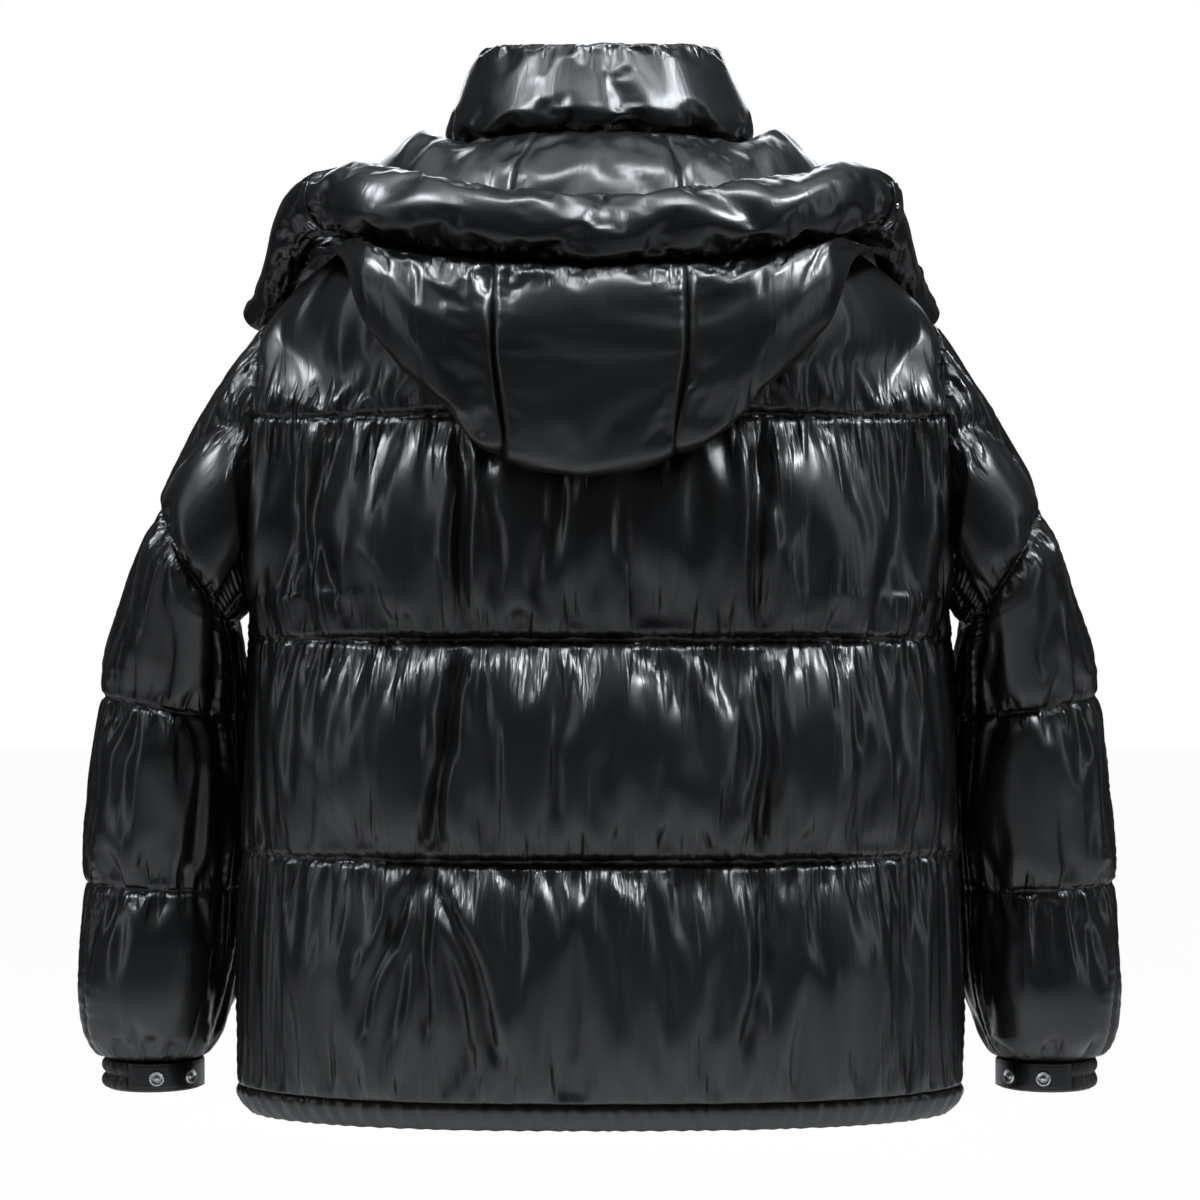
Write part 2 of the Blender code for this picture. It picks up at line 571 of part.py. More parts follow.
def make_cuffs():
    ring = np.radians(np.linspace(0.0, 360.0, 40, endpoint=False))
    for side_name, sign in (("right", 1.0), ("left", -1.0)):
        mirror = np.array([sign, 1.0, 1.0])
        theta, z = grid_of(ring, (CUFF_TOP_Z, CUFF_TOP_Z - 6.0, -686.5, CUFF_BOTTOM_Z + 5.0, CUFF_BOTTOM_Z))
        turn = np.degrees(theta)
        flat = (turn > 62.0) & (turn < 205.0)
        mid = np.array([0.0, 1.6, 0.6, 1.6, 0.0])[:, None]
        rib = np.where(flat, 0.0, mid * (0.6 + 0.9 * (np.arange(40) % 2)))
        outer = cuff_point(theta, z, CUFF_WALL + rib)
        theta_in, z_in = grid_of(ring[::2], (CUFF_TOP_Z, CUFF_BOTTOM_Z))
        inner = cuff_point(theta_in, z_in, 0.0 * theta_in)
        padded_wall(f"cuff_{side_name}", outer * mirror, inner * mirror, "elastic", ring=True)
        arc = np.radians(np.linspace(68.0, 172.0, 10))
        theta, z = grid_of(arc, (CUFF_TOP_Z - 1.2, CUFF_BOTTOM_Z + 1.0))
        outer = cuff_point(theta, z, 0 * z + CUFF_WALL + 0.3 + 2.0) * mirror
        inner = cuff_point(theta, z, 0 * z + CUFF_WALL + 0.3) * mirror
        padded_wall(f"cuff_tab_{side_name}", outer, inner, "shell")
        for letter, degrees in (("a", 100.0), ("b", 140.0)):
            at = np.radians(degrees) * np.ones(3)
            spread = np.array([-0.01, 0.0, 0.01])
            spot = cuff_point(at + spread, 0 * at - 687.0, 0 * at + CUFF_WALL + 2.6)
            out = unit(np.cross(spot[2] - spot[0], np.array([0.0, 0.0, 1.0])))
            if out[1] > 0:
                out = -out
            snap(f"cuff_snap_{side_name}_{letter}", spot[1] * mirror, out * mirror, 6.0)


def snap(name, centre, out, radius):
    """Ring snap: flat back, raised ring and a dished middle, turned about its own axis."""
    profile = ((0.0, 0.0), (1.0, 0.0), (1.0, 0.22), (0.86, 0.40), (0.68, 0.40), (0.56, 0.24), (0.0, 0.20))
    side = unit(np.cross(out, np.array([0.0, 0.0, 1.0])))
    top = np.cross(side, out)
    steps = 12
    points = []
    faces = []
    for k in range(steps):
        angle = 2 * math.pi * k / steps
        spoke = side * math.cos(angle) + top * math.sin(angle)
        for r, rise in profile[1:-1]:
            points.append(centre + spoke * r * radius + out * rise * radius)
    count = len(profile) - 2
    points.append(centre + out * profile[0][1] * radius)
    points.append(centre + out * profile[-1][1] * radius)
    for k in range(steps):
        n = (k + 1) % steps
        for i in range(count - 1):
            faces.append((k * count + i, k * count + i + 1, n * count + i + 1, n * count + i))
        faces.append((steps * count, k * count, n * count))
        faces.append((steps * count + 1, n * count + count - 1, k * count + count - 1))
    add_mesh(name, np.array(points), faces, "metal")


# ---- collar and hem ----
def collar_point(phi, t, side):
    """Lining of the collar, t 0 on the neck seam and 1 on the top edge."""
    foot = neck_ring(phi, side)
    if side < 0:
        depth, height = COLLAR_TOP["back_y"], COLLAR_TOP["back_z"]
    else:
        depth, height = COLLAR_TOP["front_y"], COLLAR_TOP["front_z"]
    side_z = COLLAR_TOP["side_z"]
    level = side_z + (height - side_z) * np.cos(phi) ** 2
    top = np.stack([COLLAR_TOP["half_x"] * np.sin(phi), side * depth * np.cos(phi), level], -1)
    return foot + (top - foot) * t[..., None]


def make_collar():
    front = neck_nodes(1)
    front = front[front > 0]
    back = neck_nodes(-1)
    phi = np.concatenate([front, back[-2:0:-1], -front[::-1]])
    side = np.concatenate([np.ones(len(front)), -np.ones(len(back) - 2), np.ones(len(front))])
    levels = (0.0, 0.07, 0.18, 0.34, 0.54, 0.74, 0.90, 1.0)
    lining, out, thick = collar_wall(phi, side, levels)
    inner = collar_wall(phi, side, (0.0, 0.5, 1.0))[0]
    padded_wall("collar", lining + out * thick[..., None], inner, "shell")


def collar_wall(phi, side, levels):
    phi, t = grid_of(phi, levels)
    behind = (side < 0)[None, :] & np.ones_like(phi, bool)
    pick = behind[..., None]
    lining = np.where(pick, collar_point(phi, t, -1), collar_point(phi, t, 1))
    away = unit(lining * np.array([1.0, 1.25, 0.0]))
    neck = np.where(pick, neck_direction(phi, -1), neck_direction(phi, 1))
    near = ramp(t / 0.20)[..., None]
    out = unit(away * near + neck * (1 - near))
    to_zip = np.where(behind, 900.0, np.abs(lining[..., 0]) - FRONT_EDGE_X)
    rise = 0.25 + 0.75 * dome(np.maximum(to_zip, 0.0), 34.0)
    belly = dome(t * 92.0, 36.0) * dome((1 - t) * 92.0 + 1.0, 62.0)
    girth = np.where(behind, phi, np.sign(phi) * math.pi - phi) * 84.0
    folds = gathers(girth, (1 - t) * 80.0, 0.7, pitch=33.0, reach=22.0, size=1.6)
    folds = folds * ramp(t / 0.3) * ramp((1 - t) / 0.12)
    return lining, out, WALL_SEAM + COLLAR_PUFF * belly * rise + folds


def make_hem():
    """Casing round the lower edge, a thin padded tube with soft gathers."""
    start = math.asin(FRONT_EDGE_X / HEM_HALF_X)
    front = np.linspace(start, math.pi / 2, 14)[:-1]
    back = np.linspace(math.pi / 2, -math.pi / 2, 29)
    phi = np.concatenate([front, back, -front[::-1]])
    behind = np.concatenate([np.zeros(13, bool), np.ones(29, bool), np.zeros(13, bool)])
    foot = np.full_like(phi, HEM_Z)
    ring = np.where(behind[:, None], body_point(phi, foot, -1), body_point(phi, foot, 1))
    out = np.where(behind[:, None], body_out(phi, foot, -1), body_out(phi, foot, 1))
    out = unit(out * np.array([1.0, 1.0, 0.0]))
    turns = np.linspace(-1.0, 1.0, len(phi))
    swell = (1.0 + 0.16 * np.sin(turns * 121.0) + 0.10 * np.sin(turns * 57.0))[:, None]
    loops = np.zeros((len(phi), len(HEM_SECTION), 3))
    for i, (push, drop) in enumerate(HEM_SECTION):
        width = push * (swell if push > 6.0 else 1.0)
        loops[:, i] = ring + out * width
        loops[:, i, 2] = HEM_Z + drop
    tube("hem_band", loops, "shell")


def tube(name, loops, slot):
    """Closed solid through a run of matching section loops, with flat ends."""
    count, around = loops.shape[:2]
    points = loops.reshape(-1, 3)
    faces = [tuple(range(around))[::-1], tuple(range((count - 1) * around, count * around))]
    for i in range(count - 1):
        for j in range(around):
            k = (j + 1) % around
            faces.append((i * around + j, i * around + k, (i + 1) * around + k, (i + 1) * around + j))
    return add_mesh(name, points, faces, slot)


# ---- hood ----
def hood_point(k, w):
    """Hollow side of the hood. k counts sections from the centre back, w the points along a section."""
    table = np.array(HOOD_SECTIONS, float)
    steps = np.arange(table.shape[0])
    sign = np.where(k < 0, -1.0, 1.0)
    size = np.abs(k)
    w = np.clip(w, 0.0, table.shape[1] - 1.0)
    knots = np.empty(np.shape(k) + table.shape[1:])
    for j in range(table.shape[1]):
        for c in range(3):
            knots[..., j, c] = smooth(steps, table[:, j, c], size)
    i = np.clip(np.floor(w).astype(int), 0, table.shape[1] - 2)
    t = (w - i)[..., None]

    def pick(n):
        n = np.clip(n, 0, table.shape[1] - 1)
        rows = n[..., None, None] * np.ones((1,) * np.ndim(k) + (1, 3), int)
        return np.take_along_axis(knots, rows, -2)[..., 0, :]

    p0, p1, p2, p3 = pick(i - 1), pick(i), pick(i + 1), pick(i + 2)
    spot = 0.5 * (2 * p1 + (p2 - p0) * t + (2 * p0 - 5 * p1 + 4 * p2 - p3) * t ** 2
                  + (3 * p1 - p0 - 3 * p2 + p3) * t ** 3)
    lean = HOOD_SHIFT * np.exp(-(spot[..., 0] / 120.0) ** 2) * ramp(w / 2.5)
    lean = lean + HOOD_SHIFT / 2 * ramp(size - 6.5)
    spot[..., 0] = spot[..., 0] * sign + lean
    return spot


def hood_wall(k, w):
    own = across(hood_point, k, w, 0.02, 0.01, 1.0)
    size = np.abs(k)
    seam = np.abs(size - 1.0) * 62.0
    free = dome(seam, 26.0)
    lying = ramp((w - 2.3) / 0.9)
    puff = HOOD_PUFF * lying * (0.35 + 0.65 * free) * dome((5.0 - w) * 50.0, 30.0)
    puff = puff * (1 - ramp((size - 3.3) / 1.2))
    wing = 8.0 * ramp((size - 5.6) / 1.2) * ramp(w / 1.5)
    tuck = 1 - 0.5 * np.exp(-((size - 4.8) / 0.55) ** 2) * ramp((w - 2.8) / 1.0)
    return own, HOOD_WALL * tuck + puff + wing


def make_hood():
    ws = banded((0.0, 2.0, 3.0, 5.0), (5, 5, 7), 0.3)
    spans = (("hood_center", np.linspace(-1.0, 1.0, 9)), ("hood_right", np.linspace(1.0, 8.0, 21)),
             ("hood_left", np.linspace(-8.0, -1.0, 21)))
    for name, ks in spans:
        k, w = grid_of(ks, ws)
        out, thick = hood_wall(k, w)
        lining = hood_point(k, w)
        inner = hood_point(*grid_of(ks[::2], ws))
        padded_wall(name, lining + out * thick[..., None], inner, "shell")


def make_rim():
    steps = np.linspace(0.0, RIM_RINGS[-1]["k"], 21)
    ks = np.concatenate([-steps[:0:-1], steps])
    centre = np.stack([read(RIM_RINGS, "k", key, np.abs(ks)) for key in "xyz"], -1)
    centre[:, 0] *= np.sign(ks)
    radius = read(RIM_RINGS, "k", "r", np.abs(ks))
    tangent = unit(np.gradient(centre, axis=0))
    loops = []
    for i, k in enumerate(ks):
        up = unit(np.array([0.0, 0.0, 1.0]) - tangent[i] * tangent[i][2])
        side = np.cross(tangent[i], up)
        loop = []
        for a in np.radians(np.linspace(0.0, 360.0, 12, endpoint=False)):
            r = radius[i] * (1 + 0.035 * math.sin(i * 1.9 + 2.0 * a))
            loop.append(centre[i] + (up * math.cos(a) + side * math.sin(a)) * r)
        loops.append(loop)
    tube("hood_rim", np.array(loops), "shell")


# ---- front zip ----
def zip_line(s):
    """Centre front line, s 0 at the hem and 1 at the collar's top; returns points and outward directions."""
    levels = np.concatenate([np.linspace(HEM_Z - 20.0, YOKE_Z, 15), np.linspace(-104.0, 0.0, 6)])
    phi = np.zeros_like(levels)
    low = body_point(phi, np.maximum(levels, HEM_Z), 1)
    low[:, 2] = np.where(levels < HEM_Z, levels, low[:, 2])
    high = collar_point(np.zeros(6), np.linspace(0.0, 1.0, 7)[1:], 1)
    line = np.concatenate([low, high])
    run = np.concatenate([[0.0], np.cumsum(np.linalg.norm(np.diff(line, axis=0), axis=1))])
    at = np.asarray(s) * run[-1]
    spot = np.stack([0 * at, np.interp(at, run, line[:, 1]), np.interp(at, run, line[:, 2])], -1)
    ahead, behind = (np.stack([0 * at, np.interp(at + d, run, line[:, 1]),
                               np.interp(at + d, run, line[:, 2])], -1) for d in (2.0, -2.0))
    out = unit(np.cross(np.array([1.0, 0.0, 0.0]), ahead - behind))
    out = out * np.where(out[:, 1:2] < 0, -1.0, 1.0)
    return spot, out


def strip(name, x0, x1, low, high, count, slot):
    """Flat strip down the front; every strip has its corners at the same stations, so none cuts another."""
    spot, out = zip_line(np.linspace(0.0, 0.99, 28)[:count])
    loops = []
    for p, n in zip(spot, out):
        corners = ((x0, low), (x1, low), (x1, high), (x0, high))
        loops.append([p + n * lift + np.array([x, 0.0, 0.0]) for x, lift in corners])
    return tube(name, np.array(loops), slot)


def make_zip():
    edge = FRONT_EDGE_X - 1.4
    strip("zip_tape_right", 0.17, edge, 0.6, 2.0, 28, "zip_tape")
    strip("zip_tape_left", -edge, -0.17, 0.6, 2.0, 28, "zip_tape")
    strip("zip_chain", -3.0, 3.0, 2.32, 4.4, 28, "zip_coil")


def frame_at(s):
    spot, out = zip_line(np.array([s, s + 0.002]))
    along = unit(spot[1] - spot[0])
    normal = out[0] - along * np.dot(out[0], along)
    return spot[0], along, unit(normal)


def block(name, origin, along, out, spans, slot):
    """Box between two corners given as (x, along, out)."""
    (x0, a0, n0), (x1, a1, n1) = spans
    points = []
    for n in (n0, n1):
        for a in (a0, a1):
            for x in (x0, x1):
                points.append(origin + np.array([x, 0.0, 0.0]) + along * a + out * n)
    faces = [(0, 1, 3, 2), (4, 6, 7, 5), (0, 4, 5, 1), (2, 3, 7, 6), (0, 2, 6, 4), (1, 5, 7, 3)]
    return add_mesh(name, np.array(points), faces, slot)


def rod(name, origin, along, out, half, radius, slot):
    loops = []
    for x in (-half, half):
        centre = origin + np.array([x, 0.0, 0.0])
        loops.append([centre + along * radius * math.cos(a) + out * radius * math.sin(a)
                      for a in np.radians(np.linspace(0.0, 360.0, 16, endpoint=False))])
    return tube(name, np.array(loops), slot)


def join(base, others):
    """Boolean union of solids that overlap, kept as one body."""
    for other in others:
        cut = base.modifiers.new("join", "BOOLEAN")
        cut.operation = "UNION"
        cut.solver = "EXACT"
        cut.object = other
    bpy.context.view_layer.update()
    graph = bpy.context.evaluated_depsgraph_get()
    mesh = bpy.data.meshes.new_from_object(base.evaluated_get(graph))
    base.modifiers.clear()
    base.data = mesh
    for other in others:
        bpy.data.objects.remove(other, do_unlink=True)


def make_slider():
    spot, along, out = frame_at(SLIDER_AT)
    low = 4.7
    spans = ((-SLIDER_HALF, 0.0, low), (SLIDER_HALF, SLIDER_LONG, low + 2.2))
    body = block("zip_slider", spot, along, out, spans, "metal")
    axis = spot + along * 9.0 + out * (low + 4.6)
    ears = [block(f"ear_{i}", spot, along, out, ((x, 7.0, low + 1.0), (x + 1.4, 11.0, low + 6.2)), "metal")
            for i, x in enumerate((-SLIDER_HALF + 0.4, SLIDER_HALF - 1.8))]
    bar = rod("bar", axis, along, out, SLIDER_HALF - 1.0, 0.8, "metal")
    join(body, ears + [bar])
    return axis


def make_pull(axis):
    """Flat tab with an eye round the slider's bar; hangs straight down at rest."""
    along = np.array([0.0, 0.0, 1.0])
    out = np.array([0.0, 1.0, 0.0])
    ring = []
    hole = []
    steps = 20
    for i in range(steps):
        a = 2 * math.pi * i / steps
        ring.append((2.9 * math.cos(a), 1.9 * math.sin(a)))
        hole.append((1.15 * math.cos(a), 1.15 * math.sin(a)))
    points = []
    faces = []
    for x in (-2.6, 2.6):
        for loop in (ring, hole):
            for a, n in loop:
                points.append(axis + np.array([x, 0.0, 0.0]) + along * a * 0.75 + out * n)
    for i in range(steps):
        j = (i + 1) % steps
        faces.append((i, j, steps + j, steps + i))
        faces.append((2 * steps + i, 3 * steps + i, 3 * steps + j, 2 * steps + j))
        faces.append((i, 2 * steps + i, 2 * steps + j, j))
        faces.append((steps + i, steps + j, 3 * steps + j, 3 * steps + i))
    eye = add_mesh("zip_pull", np.array(points), faces, "metal")
    tab = block("tab", axis, along, out, ((-2.9, -PULL_LONG, -0.9), (2.9, -1.7, 0.9)), "metal")
    join(eye, [tab])
    eye.data.transform(Matrix.Translation(tuple(-axis * MM)))
    eye.location = tuple(axis * MM)


# ---- hood hardware ----
def make_hood_hardware():
    for sign in (1.0, -1.0):
        side_name = "right" if sign > 0 else "left"
        ks = np.array([HOOD_TAB_AT])
        centre = np.array([float(read(RIM_RINGS, "k", key, ks)[0]) for key in "xyz"])
        radius = float(read(RIM_RINGS, "k", "r", ks)[0])
        ahead = np.array([float(read(RIM_RINGS, "k", key, ks + 0.05)[0]) for key in "xyz"])
        tangent = unit(ahead - centre)
        up = unit(np.array([0.0, 0.0, 1.0]) - tangent * tangent[2])
        out = np.cross(tangent, up)
        if out[1] > 0:
            out = -out
        seat = radius * 1.02
        loops = []
        for a in np.radians(np.linspace(62.0, 150.0, 8)):
            spoke = up * math.cos(a) + out * math.sin(a)
            inner = centre + spoke * (seat + 0.3)
            outer = centre + spoke * (seat + 2.1)
            half = tangent * 4.5
            loops.append([inner - half, inner + half, outer + half, outer - half])
        mirror = np.array([sign, 1.0, 1.0])
        tube(f"hood_tab_{side_name}", np.array(loops) * mirror, "shell")
        a = math.radians(138.0)
        spoke = up * math.cos(a) + out * math.sin(a)
        snap(f"hood_snap_{side_name}", (centre + spoke * (seat + 2.4)) * mirror, spoke * mirror, 4.6)
        if sign > 0:
            a = math.radians(104.0)
            spoke = up * math.cos(a) + out * math.sin(a)
            snap("hood_stud_right", centre + spoke * (seat + 2.4), spoke, 3.4)


for old in list(bpy.data.objects):
    bpy.data.objects.remove(old, do_unlink=True)

make_body()
make_sleeves()
make_cuffs()
make_collar()
make_hem()
make_hood()
make_rim()
make_zip()
make_pull(make_slider())
make_hood_hardware()
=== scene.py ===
# %% [markdown]
# # A quilted down jacket with its hood thrown back
#
# A puffer jacket is a chain of cushions. Thin glossy nylon is sewn down in rows over loose down, the down
# pushes each band out between its rows, and the cloth that has nowhere to go puckers along the stitching.
# This notebook starts from a fixed frame of plain padded walls and gives each wall the cloth that it stands
# for. Every cell below makes one step, says why it is made that way, and prints what came of it.

# %% Load the frame
import math

import bpy
import bmesh
import json
import numpy as np
import time
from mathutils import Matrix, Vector

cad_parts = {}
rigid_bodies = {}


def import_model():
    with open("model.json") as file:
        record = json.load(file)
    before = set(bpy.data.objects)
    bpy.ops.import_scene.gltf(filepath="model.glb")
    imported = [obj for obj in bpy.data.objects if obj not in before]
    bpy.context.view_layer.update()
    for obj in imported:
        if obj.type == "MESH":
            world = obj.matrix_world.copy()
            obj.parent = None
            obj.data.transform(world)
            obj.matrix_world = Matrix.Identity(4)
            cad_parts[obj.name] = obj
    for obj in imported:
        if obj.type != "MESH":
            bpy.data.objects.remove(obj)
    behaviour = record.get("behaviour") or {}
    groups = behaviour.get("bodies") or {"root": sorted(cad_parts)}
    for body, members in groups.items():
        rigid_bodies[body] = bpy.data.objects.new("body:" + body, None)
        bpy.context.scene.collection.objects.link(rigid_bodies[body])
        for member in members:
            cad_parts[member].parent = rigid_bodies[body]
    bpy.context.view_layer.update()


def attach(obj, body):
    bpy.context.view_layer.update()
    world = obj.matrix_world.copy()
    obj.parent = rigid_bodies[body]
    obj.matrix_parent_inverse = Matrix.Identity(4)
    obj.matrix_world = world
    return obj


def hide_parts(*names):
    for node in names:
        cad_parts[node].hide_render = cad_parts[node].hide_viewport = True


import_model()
MM = 0.001
JACKET = "jacket"
PULL = "pull_tab"
started = time.time()

# %% [markdown]
# ## Camera, floor and light
#
# The jacket is seen level from straight behind, from far enough away that its sides hardly converge. Black
# cloth has almost no colour of its own: what the eye reads is the reflection of the room. So the room is kept
# dark. A softbox overhead and one high on each side draw the streaks on top of each pucker, and three more with
# grids put small hard highlights on the hood and the shoulders. Upright strips edge the sleeves, one softbox
# fills the front, and one washes the pale floor, which sends a soft grey glow back into the lower half of each
# band.

# %% Camera
CAMERA_BACK = 2.75
CAMERA_LEVEL = -0.32625
VIEW_WIDTH = 0.9             # what the frame takes in, at the jacket's middle plane
SENSOR = 36.0


def placed(name, data):
    """A new object in the scene, at the origin until it is moved."""
    made = bpy.data.objects.new(name, data)
    bpy.context.scene.collection.objects.link(made)
    return made


camera_data = bpy.data.cameras.new("camera")
camera_data.sensor_width = SENSOR
camera_data.lens = SENSOR * CAMERA_BACK / VIEW_WIDTH
camera_data.clip_end = 50.0
camera = placed("camera", camera_data)
camera.location = (0.0, -CAMERA_BACK, CAMERA_LEVEL)
camera.rotation_euler = (math.radians(90.0), 0.0, 0.0)
bpy.context.scene.camera = camera
bpy.context.scene.view_settings.view_transform = "Standard"
print("lens", round(camera_data.lens, 1), "mm")

# %% The floor: a painted pool of light, pale under the jacket and grey far away, and nearly white to the camera
FLOOR_LEVEL = -0.80
FLOOR_HALF = 9.0
# painted pool of light: the floor's own colour is pale under the jacket and grey far away, standing in for light that
# reaches only the floor near it; the cloth reflects this
PAINTED_POOL_NEAR = (0.86, 0.85, 0.84, 1.0)
PAINTED_POOL_FAR = (0.10, 0.10, 0.11, 1.0)
PAINTED_POOL_FADE = 0.45            # one over the radius, in metres, at which the floor is quite grey
FLOOR_WHITE = 0.975          # how much of what the camera sees of the floor is plain white


def wire(tree, *links):
    """Links nodes: from which, out of which socket, to which, into which socket."""
    for start, source, end, target in links:
        tree.links.new(start.outputs[source], end.inputs[target])


def lay_floor():
    h = FLOOR_HALF
    mesh = bpy.data.meshes.new("floor")
    mesh.from_pydata([(-h, -h, 0), (h, -h, 0), (h, h, 0), (-h, h, 0)], [], [(0, 1, 2, 3)])
    floor = placed("floor", mesh)
    floor.location.z = FLOOR_LEVEL
    pale = bpy.data.materials.new("studio_floor")
    pale.use_nodes = True
    tree, nodes = pale.node_tree, pale.node_tree.nodes
    shader, end = nodes["Principled BSDF"], nodes["Material Output"]
    shader.inputs["Roughness"].default_value = 0.9
    place = nodes.new("ShaderNodeTexCoord")
    shrink = nodes.new("ShaderNodeMapping")
    shrink.inputs["Scale"].default_value = (PAINTED_POOL_FADE, PAINTED_POOL_FADE, PAINTED_POOL_FADE)
    # painted pool of light: a round fade of the floor's colour, pale near the middle and grey far away
    fall = nodes.new("ShaderNodeTexGradient")
    fall.gradient_type = "SPHERICAL"
    tone = nodes.new("ShaderNodeMixRGB")
    tone.inputs["Color1"].default_value = PAINTED_POOL_FAR
    tone.inputs["Color2"].default_value = PAINTED_POOL_NEAR
    wire(tree, (place, "Object", shrink, "Vector"), (shrink, "Vector", fall, "Vector"), (fall, "Fac", tone, "Fac"),
         (tone, "Color", shader, "Base Color"))
    bright = nodes.new("ShaderNodeEmission")
    path = nodes.new("ShaderNodeLightPath")
    share = nodes.new("ShaderNodeMath")
    share.operation = "MULTIPLY"
    share.inputs[1].default_value = FLOOR_WHITE
    mix = nodes.new("ShaderNodeMixShader")
    wire(tree, (path, "Is Camera Ray", share, 0), (share, "Value", mix, "Fac"), (shader, "BSDF", mix, 1),
         (bright, "Emission", mix, 2), (mix, "Shader", end, "Surface"))
    mesh.materials.append(pale)


lay_floor()
print("floor", 2 * FLOOR_HALF, "m wide, at", FLOOR_LEVEL, "m")

# %% The room: white to the camera, almost dark to the cloth
COOL = (0.90, 0.95, 1.0)
ROOM_GLOW = 0.08


def light_room():
    world = bpy.data.worlds.new("room")
    world.use_nodes = True
    bpy.context.scene.world = world
    tree, nodes = world.node_tree, world.node_tree.nodes
    nodes.clear()
    out = nodes.new("ShaderNodeOutputWorld")
    seen = nodes.new("ShaderNodeBackground")
    seen.inputs["Color"].default_value = (1.0, 1.0, 1.0, 1.0)
    lit = nodes.new("ShaderNodeBackground")
    lit.inputs["Color"].default_value = (*COOL, 1.0)
    lit.inputs["Strength"].default_value = ROOM_GLOW
    path = nodes.new("ShaderNodeLightPath")
    mix = nodes.new("ShaderNodeMixShader")
    wire(tree, (path, "Is Camera Ray", mix, "Fac"), (lit, "Background", mix, 1), (seen, "Background", mix, 2),
         (mix, "Shader", out, "Surface"))


light_room()
print("strength of the room's own light:", ROOM_GLOW)

# %% Softboxes
MIDDLE = (0.0, 0.0, -0.30)
FLOOR_SPOT = (0.0, -0.8, FLOOR_LEVEL)
SOFTBOXES = (                # name, place, what it faces, width, height, power, and a gridded one's beam
    ("overhead", (0.0, -0.7, 2.3), MIDDLE, 2.4, 0.5, 14.0),
    ("upper_left", (-2.0, -1.3, 1.7), MIDDLE, 0.7, 0.9, 12.0),
    ("upper_right", (2.0, -1.3, 1.8), MIDDLE, 0.7, 0.9, 17.0),
    ("grid_left", (-1.7, -1.3, 1.9), (-0.16, -0.1, -0.02), 0.45, 0.6, 2.2, 34.0),
    ("grid_right", (1.7, -1.3, 2.0), (0.16, -0.1, -0.02), 0.45, 0.6, 3.0, 34.0),
    ("grid_middle", (0.1, -0.9, 2.2), (0.0, -0.1, 0.0), 0.9, 0.3, 1.1, 30.0),
    ("left_strip", (-2.4, -0.9, 0.0), MIDDLE, 0.35, 2.0, 5.0),
    ("right_strip", (2.4, -0.9, 0.0), MIDDLE, 0.35, 2.0, 5.0),
    ("front_fill", (0.0, 2.6, 1.2), MIDDLE, 2.4, 1.2, 50.0),
    ("floor_wash", (0.0, -0.6, 2.4), FLOOR_SPOT, 3.0, 3.0, 28.0),
)


def softbox(name, place, aim, width, height, power, beam=180.0):
    """A rectangular area light that faces a point. A grid on its front narrows the beam, in degrees."""
    data = bpy.data.lights.new(name, "AREA")
    data.shape = "RECTANGLE"
    data.size = width
    data.size_y = height
    data.energy = power
    data.spread = math.radians(beam)
    data.color = COOL
    made = placed(name, data)
    made.location = place
    made.rotation_euler = (Vector(aim) - Vector(place)).to_track_quat("-Z", "Y").to_euler()


for row in SOFTBOXES:
    softbox(*row)
print("softboxes:", len(SOFTBOXES))

# %% [markdown]
# ## Small tools for curved cloth
#
# Every panel is a grid: one direction runs round the wearer, the other down the garment. A grid is easy to
# bend, to blur and to make finer, and its rows are where the stitching goes. The tables below are read with a
# smooth curve through their rows, so a few sections are enough for a whole garment.

# %% Curves through tables, and gentle steps


def column(rows, key):
    return np.array([row[key] for row in rows], float)


def smooth(xs, ys, at):
    """Monotone cubic through a short table."""
    xs = np.asarray(xs, float)
    ys = np.asarray(ys, float)
    at = np.clip(np.asarray(at, float), xs[0], xs[-1])
    step = np.diff(xs)
    slope = np.diff(ys) / step
    tangent = np.zeros_like(ys)
    tangent[0] = slope[0]
    tangent[-1] = slope[-1]
    for i in range(1, len(xs) - 1):
        if slope[i - 1] * slope[i] > 0.0:
            w1 = 2 * step[i] + step[i - 1]
            w2 = step[i] + 2 * step[i - 1]
            tangent[i] = (w1 + w2) / (w1 / slope[i - 1] + w2 / slope[i])
    i = np.clip(np.searchsorted(xs, at, side="right") - 1, 0, len(xs) - 2)
    t = (at - xs[i]) / step[i]
    a = 2 * t ** 3 - 3 * t ** 2 + 1
    b = t ** 3 - 2 * t ** 2 + t
    c = -2 * t ** 3 + 3 * t ** 2
    d = t ** 3 - t ** 2
    return a * ys[i] + b * step[i] * tangent[i] + c * ys[i + 1] + d * step[i] * tangent[i + 1]


def read(rows, by, key, at):
    order = np.argsort(column(rows, by))
    return smooth(column(rows, by)[order], column(rows, key)[order], at)


def ramp(x):
    """0 to 1 with soft ends."""
    x = np.clip(x, 0.0, 1.0)
    return x * x * (3 - 2 * x)


def dome(distance, run):
    """Quarter round: 0 on a seam, 1 at the given run and beyond."""
    x = 1 - np.clip(distance / run, 0.0, 1.0)
    return np.sqrt(np.clip(1 - x ** 2, 0.0, 1.0))


def unit(v):
    return v / np.maximum(np.linalg.norm(v, axis=-1, keepdims=True), 1e-9)


def across(point, u, v, du, dv, flip):
    """Outward direction of the surface point(u, v), from small differences."""
    pu = point(u + du, v) - point(u - du, v)
    pv = point(u, v + dv) - point(u, v - dv)
    return unit(np.cross(pu, pv)) * flip


print("half-way up a ramp:", float(ramp(0.5)))

# %% Grids: rows crowded at the seams, blurring, and doubling


def grid_of(us, vs):
    return np.meshgrid(np.asarray(us, float), np.asarray(vs, float))


def banded(stops, counts, crowd=0.5):
    """Row levels between stops, closer together beside each stop."""
    levels = [stops[0]]
    for start, end, count in zip(stops[:-1], stops[1:], counts):
        t = np.arange(1, count + 1) / count
        eased = (1 - np.cos(math.pi * t)) / 2
        levels += list(start + (end - start) * (crowd * eased + (1 - crowd) * t))
    return np.array(levels)


